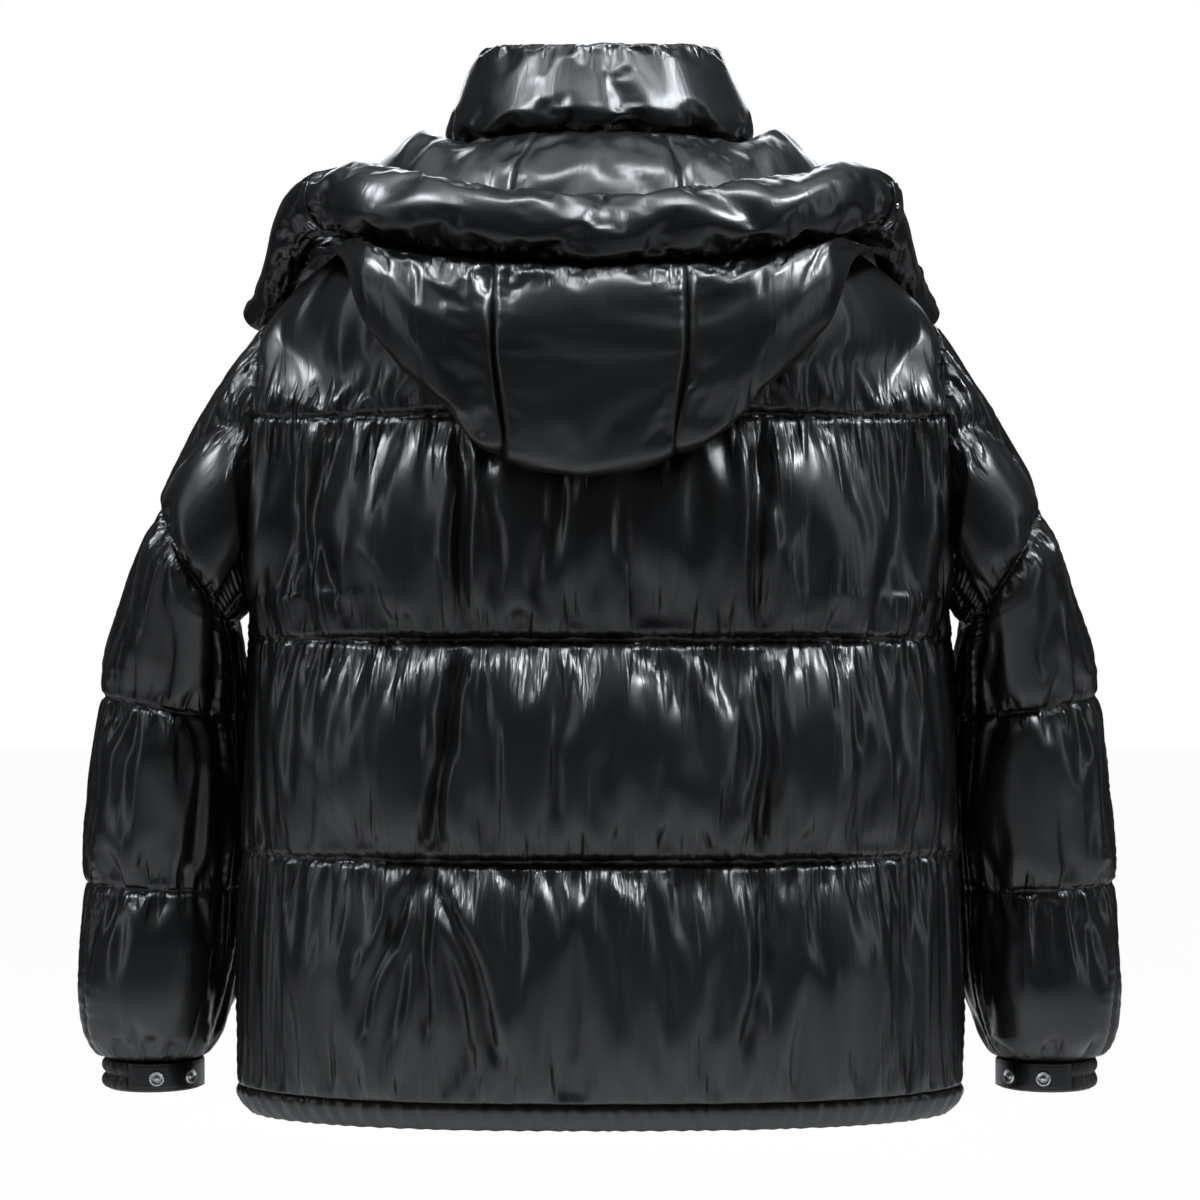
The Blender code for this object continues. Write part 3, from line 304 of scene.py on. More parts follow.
def blur(values, reach, ring=False):
    """Averages a grid over neighbours, three times, which comes close to a soft round brush."""
    out = values
    for axis in (0, 1):
        for _ in range(3):
            wrap = ring and axis == 1
            pad = [(0, 0)] * out.ndim
            pad[axis] = (reach, reach)
            padded = np.pad(out, pad, mode="wrap" if wrap else "edge")
            total = np.cumsum(padded, axis=axis)
            zero = np.zeros_like(np.take(total, [0], axis=axis))
            total = np.concatenate([zero, total], axis=axis)
            count = out.shape[axis]
            high = np.take(total, np.arange(2 * reach + 1, 2 * reach + 1 + count), axis=axis)
            low = np.take(total, np.arange(count), axis=axis)
            out = (high - low) / (2 * reach + 1)
    return out


def doubled(grid, ring=False):
    """The same surface with a point between each two, on a cubic through four neighbours."""
    out = grid
    for axis in (0, 1):
        wrap = ring and axis == 1
        g = np.moveaxis(out, axis, 0)
        if wrap:
            before, a, b, after = np.roll(g, 1, 0), g, np.roll(g, -1, 0), np.roll(g, -2, 0)
        else:
            a, b = g[:-1], g[1:]
            before = np.concatenate([2 * g[:1] - g[1:2], g[:-2]])
            after = np.concatenate([g[2:], 2 * g[-1:] - g[-2:-1]])
        middle = (9 * (a + b) - (before + after)) / 16
        count = len(g) * 2 if wrap else len(g) * 2 - 1
        fine = np.empty((count,) + g.shape[1:])
        fine[0::2] = g
        fine[1::2] = middle
        out = np.moveaxis(fine, 0, axis)
    return out


print("doubling a 3 by 3 grid gives", doubled(np.zeros((3, 3, 3))).shape[:2])

# %% [markdown]
# ## The cut, in millimetres
#
# The same driving sizes as the frame's walls have. X runs to the wearer's right, Y to the front, Z up, and the
# origin is the middle of the neck seam. A band of padding stands between two quilting rows.

# %% Driving sizes
WALL_SEAM = 5.0              # wall where a seam pinches the padding flat
NECK_HALF_X = 90.0
NECK_BACK_Y = 72.0
NECK_FRONT_Y = 80.0
NECK_FRONT_DROP = 58.0
YOKE_Z = -124.0              # level of the shoulder point
YOKE_HALF_X = 247.0
HEM_Z = -686.0
HEM_HALF_X = 264.0
FRONT_HALF_X = 256.0         # the half width that sets where a front begins beside the zip
ARMPIT_Z = -326.0
ARMPIT_SPREAD = 10.0         # how much the half width grows from the shoulder point down to the armpit
SIDE_SEAM_Z = -345.0         # below this level the side seam runs straight
ARMHOLE_MID_Z = -225.0
ARMHOLE_HALF_Z = 101.0
ARMHOLE_HALF_Y = 62.0
FRONT_EDGE_X = 9.0
QUILT_ROWS = (-194.0, -355.0, -514.0)
BODY_PUFF = 27.0
SIDE_PUFF = 7.0
SLEEVE_PUFF = 13.0
SLEEVE_OUTER_PUFF = 6.0
SLEEVE_INNER_PUFF = 1.0
SLEEVE_ROUND = 34.0
ELBOW_SEAM = 37.0            # degrees from the sleeve's outermost line towards the back
UNDER_SEAM = 145.0
CAP_V_ANGLE = 82.0
COLLAR_PUFF = 23.0
HOOD_WALL = 6.5
HOOD_PUFF = 12.0
HOOD_SHIFT = -9.0
CUFF_TOP_Z = -674.5
CUFF_BOTTOM_Z = -698.0
CUFF_WALL = 4.0
CUFF_CENTRE_X = 341.0
CUFF_CENTRE_Y = 60.0
CUFF_HALF_X = 33.0
CUFF_HALF_Y = 40.0
SAMPLES = 400                # points on a curve whose length is measured
SIDES = (("right", 1.0), ("left", -1.0))
print("quilting rows of the body at", QUILT_ROWS)

# %% Sections of body and sleeves


def table(names, rows):
    """Rows of numbers under shared names."""
    return tuple(dict(zip(names.split(), row)) for row in rows)


BODY_ROWS = table("z half back front bow", (
    (-688.0, 264.0, 119.0, 119.0, 0.50),
    (-600.0, 264.0, 121.0, 122.0, 0.50),
    (-514.0, 262.0, 122.0, 124.0, 0.50),
    (-430.0, 259.0, 123.0, 125.0, 0.50),
    (-355.0, 257.5, 124.0, 125.0, 0.50),
    (-326.0, 257.0, 125.0, 125.0, 0.51),
    (-290.0, 255.2, 126.0, 125.0, 0.56),
    (-225.0, 252.0, 126.0, 124.0, 0.60),
    (-160.0, 248.8, 121.0, 121.0, 0.57),
    (-124.0, 247.0, 116.0, 116.0, 0.52),
))
SLEEVE_RINGS = table("v ox oz ix iz cy half", (
    (0.00, 247.0, -124.0, 257.0, -326.0, 0.0, 62.0),
    (0.12, 283.0, -188.0, 273.0, -337.0, 2.0, 69.0),
    (0.24, 321.0, -257.0, 280.0, -347.0, 9.0, 73.0),
    (0.42, 346.0, -330.0, 275.5, -376.0, 31.0, 75.0),
    (0.55, 371.0, -399.0, 273.5, -415.0, 46.0, 74.0),
    (0.66, 376.0, -470.0, 273.0, -478.0, 55.0, 72.0),
    (0.77, 386.0, -541.0, 274.0, -545.0, 60.0, 69.0),
    (0.89, 380.0, -612.0, 288.0, -614.0, 61.0, 60.0),
    (0.97, 375.0, -656.0, 302.0, -656.0, 60.0, 47.0),
    (1.00, 374.0, -674.0, 308.0, -674.0, 60.0, 41.0),
))
SLEEVE_QUILTS = (0.24, 0.55, 0.77)
print("bands of the body:", len(QUILT_ROWS) + 1, " bands of a sleeve:", len(SLEEVE_QUILTS) + 2)

# %% Sections of collar, hood and roll
COLLAR_TOP = dict(half_x=76.0, back_y=63.0, front_y=86.0, side_z=86.0, back_z=80.0, front_z=40.0)
HOOD_SECTIONS = (
    ((0, -90, 14), (0, -137, -26), (0, -163, -125), (0, -178, -222), (0, -192, -155), (0, -182, -93)),
    ((44, -87, 13), (60, -131, -25), (64, -161, -120), (56, -177, -211), (66, -188, -150), (66, -178, -90)),
    ((67, -78, 12), (88, -119, -21), (98, -155, -110), (93, -170, -182), (106, -180, -135), (108, -167, -86)),
    ((86, -64, 11), (112, -99, -13), (132, -140, -90), (134, -157, -137), (145, -162, -108), (148, -148, -79)),
    ((102, -42, 10), (125, -76, 5), (147, -111, -58), (158, -141, -101), (169, -143, -88), (174, -127, -73)),
    ((113, -14, 9), (131, -38, 21), (157, -71, -19), (177, -98, -64), (188, -104, -72), (198, -99, -71)),
    ((115, 12, 9), (133, -6, 24), (170, -22, -10), (196, -33, -46), (209, -35, -61), (218, -36, -68)),
    ((109, 45, -1), (132, 27, 14), (175, 23, -16), (205, 21, -44), (227, 17, -62), (245, 11, -78)),
    ((92, 77, -18), (120, 67, 0), (165, 70, -25), (200, 67, -51), (231, 59, -75), (258, 45, -99)),
)
RIM_RINGS = table("k x y z r", (
    (0.0, 0.0, -181.0, -67.0, 24.0),
    (1.0, 66.0, -177.0, -61.0, 26.0),
    (2.0, 108.0, -165.0, -54.0, 27.0),
    (3.0, 150.0, -143.0, -45.0, 27.0),
    (4.0, 180.0, -114.0, -37.0, 25.0),
    (5.0, 203.0, -81.0, -38.0, 21.0),
    (6.0, 217.0, -43.0, -50.0, 17.5),
    (7.0, 232.0, 0.0, -80.0, 16.0),
    (8.0, 251.0, 40.0, -111.0, 14.5),
))
print("sections of half the hood:", len(HOOD_SECTIONS), " of half the roll:", len(RIM_RINGS))

# %% [markdown]
# ## Body, sleeve, collar and hood as surfaces
#
# Each function gives the lining at any place of its grid, the direction in which the padding stands, and how
# thick the padding is. The lining is plain; all relief is in the thickness. Two panels that meet share the
# line and the direction on it, so no slit opens between them.

# %% The body's lining


def neck_curve(phi, side):
    depth = NECK_BACK_Y if side < 0 else NECK_FRONT_Y
    drop = -5.0 if side < 0 else NECK_FRONT_DROP
    return np.stack([NECK_HALF_X * np.sin(phi), side * depth * np.cos(phi), -5.0 - drop * np.cos(phi) ** 2], -1)


def armhole_half(z):
    turn = np.clip((z - ARMHOLE_MID_Z) / ARMHOLE_HALF_Z, -1.0, 1.0)
    return ARMHOLE_HALF_Y * np.sqrt(1 - turn ** 2)


def armhole_bulge(phi, z):
    """Depth that the armhole gives the panel beside it: exact on the seam, softened towards the middle."""
    turn = np.clip((z - ARMHOLE_MID_Z) / ARMHOLE_HALF_Z, -1.0, 1.0)
    soft = ARMHOLE_HALF_Y * ramp((1 - turn ** 2) / 0.9)
    reach = np.abs(np.sin(phi))
    return (soft + (armhole_half(z) - soft) * ramp((reach - 0.93) / 0.07)) * reach ** 8


def body_slice(phi, z, side):
    half = read(BODY_ROWS, "z", "half", z)
    beside_hole = YOKE_HALF_X + ARMPIT_SPREAD * (YOKE_Z - z) / (YOKE_Z - ARMPIT_Z)
    half = np.where(z > ARMPIT_Z, beside_hole, half)
    deep = read(BODY_ROWS, "z", "back" if side < 0 else "front", z)
    bow = read(BODY_ROWS, "z", "bow", z)
    s = np.sin(phi)
    arch = np.clip(1 - np.abs(s) ** 2.5, 0.0, 1.0) ** bow
    return np.stack([half * s, side * (deep * arch + armhole_bulge(phi, z)), z + 0 * s], -1)


def body_point(phi, h, side):
    """Lining of the body. h is the level up to the shoulder point, then runs on to 0 at the neck."""
    phi = np.clip(phi, -math.pi / 2, math.pi / 2)
    h = np.clip(h, -700.0, 0.0)
    low = body_slice(phi, np.minimum(h, YOKE_Z), side)
    foot = body_slice(phi, np.full_like(h, YOKE_Z), side)
    top = neck_curve(phi, side)
    rise = np.stack([0 * phi, side * 9.0 * np.cos(phi), 16.0 * np.cos(phi)], -1)
    knee = (foot + top) / 2 + rise
    t = np.clip((h - YOKE_Z) / -YOKE_Z, 0.0, 1.0)[..., None]
    high = (1 - t) ** 2 * foot + 2 * t * (1 - t) * knee + t ** 2 * top
    return np.where((h <= YOKE_Z)[..., None], low, high)


hem_spot = body_point(np.array([0.0]), np.array([HEM_Z]), -1)[0]
print("lining at the middle of the hem, behind:", np.round(hem_spot, 1))

# %% The way the body's padding stands
SEAM_BLEND = 34.0            # from a seam to here, the direction turns from the seam's shared one to the panel's own


def side_direction(sign, h):
    """Shared wall direction on the side seam, round the armhole and along the shoulder."""
    up = np.interp(h, [SIDE_SEAM_Z, ARMPIT_Z, YOKE_Z, 0.0], [0.0, -1.0, 1.0, 1.0])
    turn = np.clip((ARMHOLE_MID_Z - h) / ARMHOLE_HALF_Z, -1.0, 1.0)
    in_hole = (h > ARMPIT_Z) & (h < YOKE_Z)
    z = np.where(in_hole, -turn, up)
    y = np.where(in_hole, np.sqrt(np.clip(1 - turn ** 2, 0.0, 1.0)), 0.0)
    x = np.where(h <= SIDE_SEAM_Z, 1.0, 0.6)
    return np.stack([sign * x, y, z], -1)


def neck_direction(phi, side):
    return unit(np.stack([0.75 * np.sin(phi), side * 0.75 * np.cos(phi), 0.66 + 0 * phi], -1))


def body_out(phi, h, side):
    own = across(lambda a, b: body_point(a, b, side), phi, h, 0.012, 1.5, 1.0 if side < 0 else -1.0)
    here = body_point(phi, h, side)
    sign = np.where(phi < 0, -1.0, 1.0)
    rim = body_point(sign * math.pi / 2, h, side)
    shared = side_direction(sign, h) * np.array([1.0, side, 1.0])
    near = ramp(np.linalg.norm(here - rim, axis=-1) / SEAM_BLEND)[..., None]
    own = unit(own * near + unit(shared) * (1 - near))
    top = body_point(phi, 0 * h, side)
    near = ramp(np.linalg.norm(here - top, axis=-1) / SEAM_BLEND)[..., None]
    return unit(own * near + neck_direction(phi, side) * (1 - near))


print("at the side seam it stands", side_direction(1.0, np.array([HEM_Z]))[0])

# %% How thick the body's padding is
FAR = 999.0                  # a distance past every seam


def band_arch(below, above, lean=0.85):
    """Cross-section of one band of down: steep at both seams, fullest a little above its middle."""
    t = np.clip(below / np.maximum(below + above, 1e-6), 0.0, 1.0) ** lean
    return np.clip(1 - np.abs(2 * t - 1) ** 2.6, 0.0, 1.0) ** 0.47


def body_thick(phi, h, side):
    here = body_point(phi, h, side)
    x, z = here[..., 0], here[..., 2]
    rim = body_point(np.where(phi < 0, -1.0, 1.0) * math.pi / 2, h, side)
    to_rim = np.linalg.norm(here - rim, axis=-1)
    stops = np.array((HEM_Z - 2.0, *QUILT_ROWS[::-1]))
    to_neck = np.linalg.norm(here - body_point(phi, 0 * h, side), axis=-1)
    below = np.min(np.where(h[..., None] >= stops, h[..., None] - stops, FAR), axis=-1)
    above = np.min(np.where(h[..., None] <= stops, stops - h[..., None], FAR), axis=-1)
    above = np.minimum(above, 0.7 * to_neck)
    band = band_arch(below, above)
    puff = SIDE_PUFF + (BODY_PUFF - SIDE_PUFF) * ramp(to_rim / 180.0)
    if side > 0:
        to_zip = np.abs(x) - FRONT_EDGE_X
        puff = puff * (0.25 + 0.75 * dome(to_zip, 40.0)) * dome(to_zip + 0.2, 16.0)
    thick = WALL_SEAM + puff * band * dome(to_rim, 30.0)
    armpit = np.exp(-((z + 338.0) / 24.0) ** 2) * (1 - ramp(to_rim / 90.0))
    return np.maximum(thick - 0.85 * (thick - WALL_SEAM) * armpit, WALL_SEAM * 0.9)


print("a band of the body is at most", round(WALL_SEAM + BODY_PUFF), "mm thick")

# %% The sleeve, worked out for the wearer's right and mirrored for the left
CAP_LENGTH = 430.0           # millimetres for each unit of v on the cap


def sleeve_point(theta, v):
    """theta 0 is the outermost line, positive turns to the back."""
    v = np.clip(v, 0.0, 1.0)
    get = {key: read(SLEEVE_RINGS, "v", key, v) for key in ("ox", "oz", "ix", "iz", "cy", "half")}
    c, s = np.cos(theta), np.sin(theta)
    x = (get["ox"] + get["ix"]) / 2 + (get["ox"] - get["ix"]) / 2 * c
    z = (get["oz"] + get["iz"]) / 2 + (get["oz"] - get["iz"]) / 2 * c
    return np.stack([x, get["cy"] - get["half"] * s, z], -1)


def sleeve_out(theta, v):
    own = across(sleeve_point, theta, v, 0.02, 0.004, 1.0)
    hole = unit(np.stack([0.6 + 0 * theta, -np.sin(theta), np.cos(theta)], -1))
    near = ramp(v / 0.11)[..., None]
    own = unit(own * near + hole * (1 - near))
    level = own * np.array([1.0, 1.0, 0.25])
    end = ramp((1.0 - v) / 0.06)[..., None]
    return unit(own * end + unit(level) * (1 - end))


def sleeve_turn(theta):
    """Degrees from the outermost line, either way round."""
    return np.abs(np.degrees((theta + math.pi) % (2 * math.pi) - math.pi))


def cap_line(theta):
    """Where the upper arm of the cap's V crosses each line of the sleeve."""
    return SLEEVE_QUILTS[0] * np.clip(1 - sleeve_turn(theta) / CAP_V_ANGLE, 0.0, 1.0)


def sleeve_thick(theta, v):
    turn = sleeve_turn(theta)
    arm = cap_line(theta)
    stops = np.array((0.0, *SLEEVE_QUILTS, 1.0))
    longs = 560.0 - 330.0 * ramp((turn - 60.0) / 110.0) * (v < 0.3)
    gap = (v[..., None] - stops) * longs[..., None]
    above = np.min(np.where(gap >= 0, gap, FAR), axis=-1)
    below = np.min(np.where(gap <= 0, -gap, FAR), axis=-1)
    in_cap = (v < SLEEVE_QUILTS[0]) & (turn < CAP_V_ANGLE)
    to_v = np.abs(v - arm) * CAP_LENGTH
    above = np.where(in_cap & (v >= arm), np.minimum(above, to_v), above)
    below = np.where(in_cap & (v < arm), np.minimum(below, to_v), below)
    band = dome(above, SLEEVE_ROUND * 1.2) * dome(below, SLEEVE_ROUND * 0.8)
    full = SLEEVE_INNER_PUFF + (SLEEVE_PUFF - SLEEVE_INNER_PUFF) * ramp((175.0 - turn) / 80.0)
    full = full - (SLEEVE_PUFF - SLEEVE_OUTER_PUFF) * (1 - ramp(turn / 55.0))
    full = full + 8.0 * ramp((v - 0.80) / 0.12)
    degrees = np.degrees(theta % (2 * math.pi))
    round_seam = np.minimum(np.abs(degrees - ELBOW_SEAM), np.abs(degrees - UNDER_SEAM))
    round_seam = np.minimum(round_seam, np.abs(degrees - 360.0 - ELBOW_SEAM))
    long_pinch = 0.62 + 0.38 * dome(round_seam, 16.0)
    armpit = ramp((turn - 110.0) / 40.0) * ramp((0.36 - v) / 0.14)
    return np.maximum(WALL_SEAM + full * band * long_pinch * (1 - armpit), WALL_SEAM * 0.8)


print("the cap's V of quilting reaches the armhole", CAP_V_ANGLE, "degrees from the outermost line")

# %% The collar
COLLAR_HEIGHT = 92.0


def collar_point(phi, t, side):
    """Lining of the collar, t 0 on the neck seam and 1 on the top edge."""
    foot = neck_curve(phi, side)
    depth = COLLAR_TOP["back_y"] if side < 0 else COLLAR_TOP["front_y"]
    height = COLLAR_TOP["back_z"] if side < 0 else COLLAR_TOP["front_z"]
    side_z = COLLAR_TOP["side_z"]
    level = side_z + (height - side_z) * np.cos(phi) ** 2
    top = np.stack([COLLAR_TOP["half_x"] * np.sin(phi), side * depth * np.cos(phi), level], -1)
    return foot + (top - foot) * t[..., None]


def collar_wall(phi, behind, levels):
    phi, t = grid_of(phi, levels)
    behind = behind[None, :] & np.ones_like(phi, bool)
    pick = behind[..., None]
    lining = np.where(pick, collar_point(phi, t, -1), collar_point(phi, t, 1))
    away = unit(lining * np.array([1.0, 1.25, 0.0]))
    neck = np.where(pick, neck_direction(phi, -1), neck_direction(phi, 1))
    near = ramp(t / 0.20)[..., None]
    out = unit(away * near + neck * (1 - near))
    to_zip = np.where(behind, 900.0, np.abs(lining[..., 0]) - FRONT_EDGE_X)
    rise = 0.25 + 0.75 * dome(np.maximum(to_zip, 0.0), 34.0)
    belly = dome(t * COLLAR_HEIGHT, 30.0) * dome((1 - t) * COLLAR_HEIGHT + 0.5, 7.0)
    belly = belly * (1 - 0.72 * np.clip((t - 0.3) / 0.7, 0.0, 1.0))
    return lining, out, WALL_SEAM + COLLAR_PUFF * belly * rise


print("the collar is", round(2 * COLLAR_TOP["half_x"]), "mm wide inside at its top")

# %% The hood
HOOD_REACH = 50.0            # millimetres along the hood for each step of w


def hood_point(k, w):
    """Hollow side of the hood. k counts sections from the centre back, w the points along a section."""
    table = np.array(HOOD_SECTIONS, float)
    steps = np.arange(table.shape[0])
    sign = np.where(k < 0, -1.0, 1.0)
    size = np.abs(k)
    w = np.clip(w, 0.0, table.shape[1] - 1.0)
    knots = np.empty(np.shape(k) + table.shape[1:])
    for j in range(table.shape[1]):
        for c in range(3):
            knots[..., j, c] = smooth(steps, table[:, j, c], size)
    i = np.clip(np.floor(w).astype(int), 0, table.shape[1] - 2)
    t = (w - i)[..., None]

    def pick(n):
        n = np.clip(n, 0, table.shape[1] - 1)
        return np.take_along_axis(knots, n[..., None, None] * np.ones((1,) * np.ndim(k) + (1, 3), int), -2)[..., 0, :]

    p0, p1, p2, p3 = pick(i - 1), pick(i), pick(i + 1), pick(i + 2)
    spot = 0.5 * (2 * p1 + (p2 - p0) * t + (2 * p0 - 5 * p1 + 4 * p2 - p3) * t ** 2
                  + (3 * p1 - p0 - 3 * p2 + p3) * t ** 3)
    lean = HOOD_SHIFT * np.exp(-(spot[..., 0] / 120.0) ** 2) * ramp(w / 2.5) + HOOD_SHIFT / 2 * ramp(size - 6.5)
    spot[..., 0] = spot[..., 0] * sign + lean
    return spot


def hood_wall(k, w):
    own = across(hood_point, k, w, 0.02, 0.01, 1.0)
    size = np.abs(k)
    seam = np.abs(size - 1.0) * 62.0
    free = dome(seam, 26.0)
    lying = ramp((w - 2.3) / 0.9)
    puff = HOOD_PUFF * lying * (0.62 + 0.38 * free) * dome((5.0 - w) * HOOD_REACH, 30.0)
    puff = puff * (1 - ramp((size - 3.3) / 1.2))
    wing = 8.0 * ramp((size - 5.6) / 1.2) * ramp(w / 1.5)
    tuck = 1 - 0.5 * np.exp(-((size - 4.8) / 0.55) ** 2) * ramp((w - 2.8) / 1.0)
    return own, HOOD_WALL * tuck + puff + wing


print("the body is", round(2 * float(read(BODY_ROWS, "z", "half", HEM_Z))), "mm wide inside at the hem")

# %% [markdown]
# ## Panels that wait for their sewing
#
# A panel is cut wider than the place it covers, then sewn down along its quilting. Each panel below has both
# shapes: the cut, and the smooth padded surface that it is drawn in to. Its seams and quilting rows are held
# there; everything between them may move.

# %% Evenly spaced points
FINE = 1.0     # step of the grids, times this


def even_turns(point, first, last, step, ring=False):
    """Turns that lie one step apart along a curve."""
    turns = np.linspace(first, last, SAMPLES)
    spots = point(turns)
    run = np.concatenate([[0.0], np.cumsum(np.linalg.norm(np.diff(spots, axis=0), axis=1))])
    count = max(4, int(round(run[-1] / (step * FINE))))
    even = np.interp(np.linspace(0.0, run[-1], count + 1), run, turns)
    return even[:-1] if ring else even


def counts(lengths, step):
    return [max(3, int(round(length / (step * FINE)))) for length in lengths]


def turns_round(point, half_x, level, step):
    """Turns from the zip's right edge round the back to its left edge, and which of them lie behind."""
    edge = math.asin(FRONT_EDGE_X / half_x)
    at = np.full(SAMPLES, level)
    front = even_turns(lambda p: point(p, at, 1), edge, math.pi / 2, step)
    back = even_turns(lambda p: point(p, at, -1), math.pi / 2, -math.pi / 2, step)
    phi = np.concatenate([front, back[1:-1], -front[::-1]])
    behind = np.zeros(len(phi), bool)
    behind[len(front):-len(front)] = True
    return phi, behind


def front_turns(levels, spread):
    """Turns of a front's points, from the zip's upright edge to the side seam."""
    yoke = NECK_HALF_X + (YOKE_HALF_X - NECK_HALF_X) * levels / YOKE_Z
    first = np.arcsin(FRONT_EDGE_X / np.where(levels > YOKE_Z, yoke, FRONT_HALF_X))[:, None]
    return first + (math.pi / 2 - first) * spread[None, :]


print("rows for 100 mm at a step of 5 mm:", counts((100.0,), 5.0)[0])

# %% What a panel is made of
panels = {}


def panel(name, start, out, held, cut, push, seed, ring=False, room=(5.0, 12.0, 9.0), stiff=0.4, growth=0.0,
          streak=3, crisp=1.0, comb=0, nips=1.0, reach=20):
    """A grid that starts on its smooth surface. cut is the larger shape that the cloth was cut to, held marks
    the sewn points, push is the down's pressure, growth a last bit of ease in both directions, and room how
    far the broad form may leave the smooth one: outwards, inwards, sideways. comb is how often the cloth is
    stroked along its folds afterwards, nips the share of the small gathers at its edges, and reach how many
    steps of the grid the finest creases may run from the sewing."""
    held = held.copy()
    held[0] = held[-1] = True
    if not ring:
        held[:, 0] = held[:, -1] = True
    panels[name] = dict(start=start, out=out, held=held, cut=cut, push=push, seed=seed, ring=ring,
                        room=room, stiff=stiff, growth=growth, streak=streak, crisp=crisp, comb=comb,
                        nips=nips, reach=reach)


def eased(grid, centre, girth, length=0.0):
    """The cut of a grid that is gathered to its present size: wider round its centre, and longer by a share
    that may be negative."""
    girth = girth + np.zeros(grid.shape[:2])
    return centre + (grid - centre) * np.stack([1.0 + girth, 1.0 + girth, 1.0 + length + 0 * girth], -1)


def quads(rows, columns, ring, flip):
    index = np.arange(rows * columns).reshape(rows, columns)
    if ring:
        index = np.concatenate([index, index[:, :1]], axis=1)
    faces = np.stack([index[:-1, :-1], index[:-1, 1:], index[1:, 1:], index[1:, :-1]], -1).reshape(-1, 4)
    return faces[:, ::-1] if flip else faces


def turned(start, out):
    """True where the grid's own faces look inwards."""
    ahead = np.roll(start, -1, 1) - start
    down = np.roll(start, -1, 0) - start
    normal = np.cross(ahead, down)[:-1, :-1]
    return float(np.sum(normal * out[:-1, :-1])) < 0


print("a 3 by 3 grid has", len(quads(3, 3, False, False)), "faces")

# %% Body panels
BODY_STEP = 5.0
BODY_LEVEL = -430.0          # the points of a row are spaced for this level
START_FULL = 0.92            # share of the padding's thickness at which the cloth starts
BODY_MIDDLE = np.array([0.0, 0.0, -340.0])
body_stops = (HEM_Z, *QUILT_ROWS[::-1], 0.0)
body_lengths = (180.0, 172.0, 176.0, 262.0)
body_rows = banded(body_stops, counts(body_lengths, BODY_STEP), 0.45)
quilted = np.isin(np.round(body_rows, 3), np.round(QUILT_ROWS, 3))


def body_start(phi, h, side):
    out = body_out(phi, h, side)
    thick = WALL_SEAM + START_FULL * (body_thick(phi, h, side) - WALL_SEAM)
    start = body_point(phi, h, side) + out * thick[..., None]
    if np.ndim(phi) == 2:
        soft = start.copy()
        for _ in range(36):
            soft[1:-1] = 0.5 * soft[1:-1] + 0.25 * (soft[:-2] + soft[2:])
        start += (soft - start) * ramp((34.0 - np.abs(h - YOKE_Z)) / 24.0)[..., None]
    return start, out


def yoke_ease(h, full):
    """Less extra width above the first quilting row, where the yoke lies flat on the shoulders."""
    return full * (0.4 + 0.6 * ramp((-150.0 - h) / 40.0))


def side_calm(phi, middle):
    """How much of the fine folding stays: less of it close to the side seams."""
    return 0.08 + (middle - 0.08) * ramp((math.pi / 2 - np.abs(phi)) / 0.6)


def cut_body():
    low = np.full(SAMPLES, BODY_LEVEL)
    turns = even_turns(lambda p: body_start(p, low, -1)[0], -math.pi / 2, math.pi / 2, BODY_STEP)
    phi, h = grid_of(turns, body_rows)
    start, out = body_start(phi, h, -1)
    held = np.zeros(phi.shape, bool)
    held[quilted] = True
    panel("back", start, out, held, eased(start, BODY_MIDDLE, yoke_ease(h, 0.10), -0.02), push=3.0, seed=7,
          room=(4.0, 12.0, 9.0), stiff=0.8, crisp=side_calm(phi, 0.8), comb=5)
    for name, sign, seed in (("front_right", 1.0, 21), ("front_left", -1.0, 22)):
        edge = math.asin(FRONT_EDGE_X / FRONT_HALF_X)
        turns = even_turns(lambda p: body_start(p, low, 1)[0], edge, math.pi / 2, BODY_STEP)
        phi = front_turns(body_rows, (turns - edge) / (math.pi / 2 - edge))
        h = body_rows[:, None] * np.ones_like(phi)
        start, out = body_start(sign * phi, h, 1)
        held = np.zeros(phi.shape, bool)
        held[quilted] = True
        panel(name, start, out, held, eased(start, BODY_MIDDLE, yoke_ease(h, 0.09), -0.02), push=2.6, seed=seed,
              room=(4.0, 10.0, 8.0), stiff=0.8, crisp=side_calm(sign * phi, 0.8), comb=5)


cut_body()
print({name: p["start"].shape[:2] for name, p in panels.items()})

# %% Sleeve panels
SLEEVE_STEP = 5.0
SLEEVE_SPANS = (("back", ELBOW_SEAM, UNDER_SEAM, 8), ("top", UNDER_SEAM, 360.0 + ELBOW_SEAM, 16))
sleeve_rows = banded((0.0, *SLEEVE_QUILTS, 1.0), counts((150.0, 172.0, 140.0, 135.0), SLEEVE_STEP), 0.45)
sleeve_quilted = np.isin(np.round(sleeve_rows, 4), np.round(SLEEVE_QUILTS, 4))


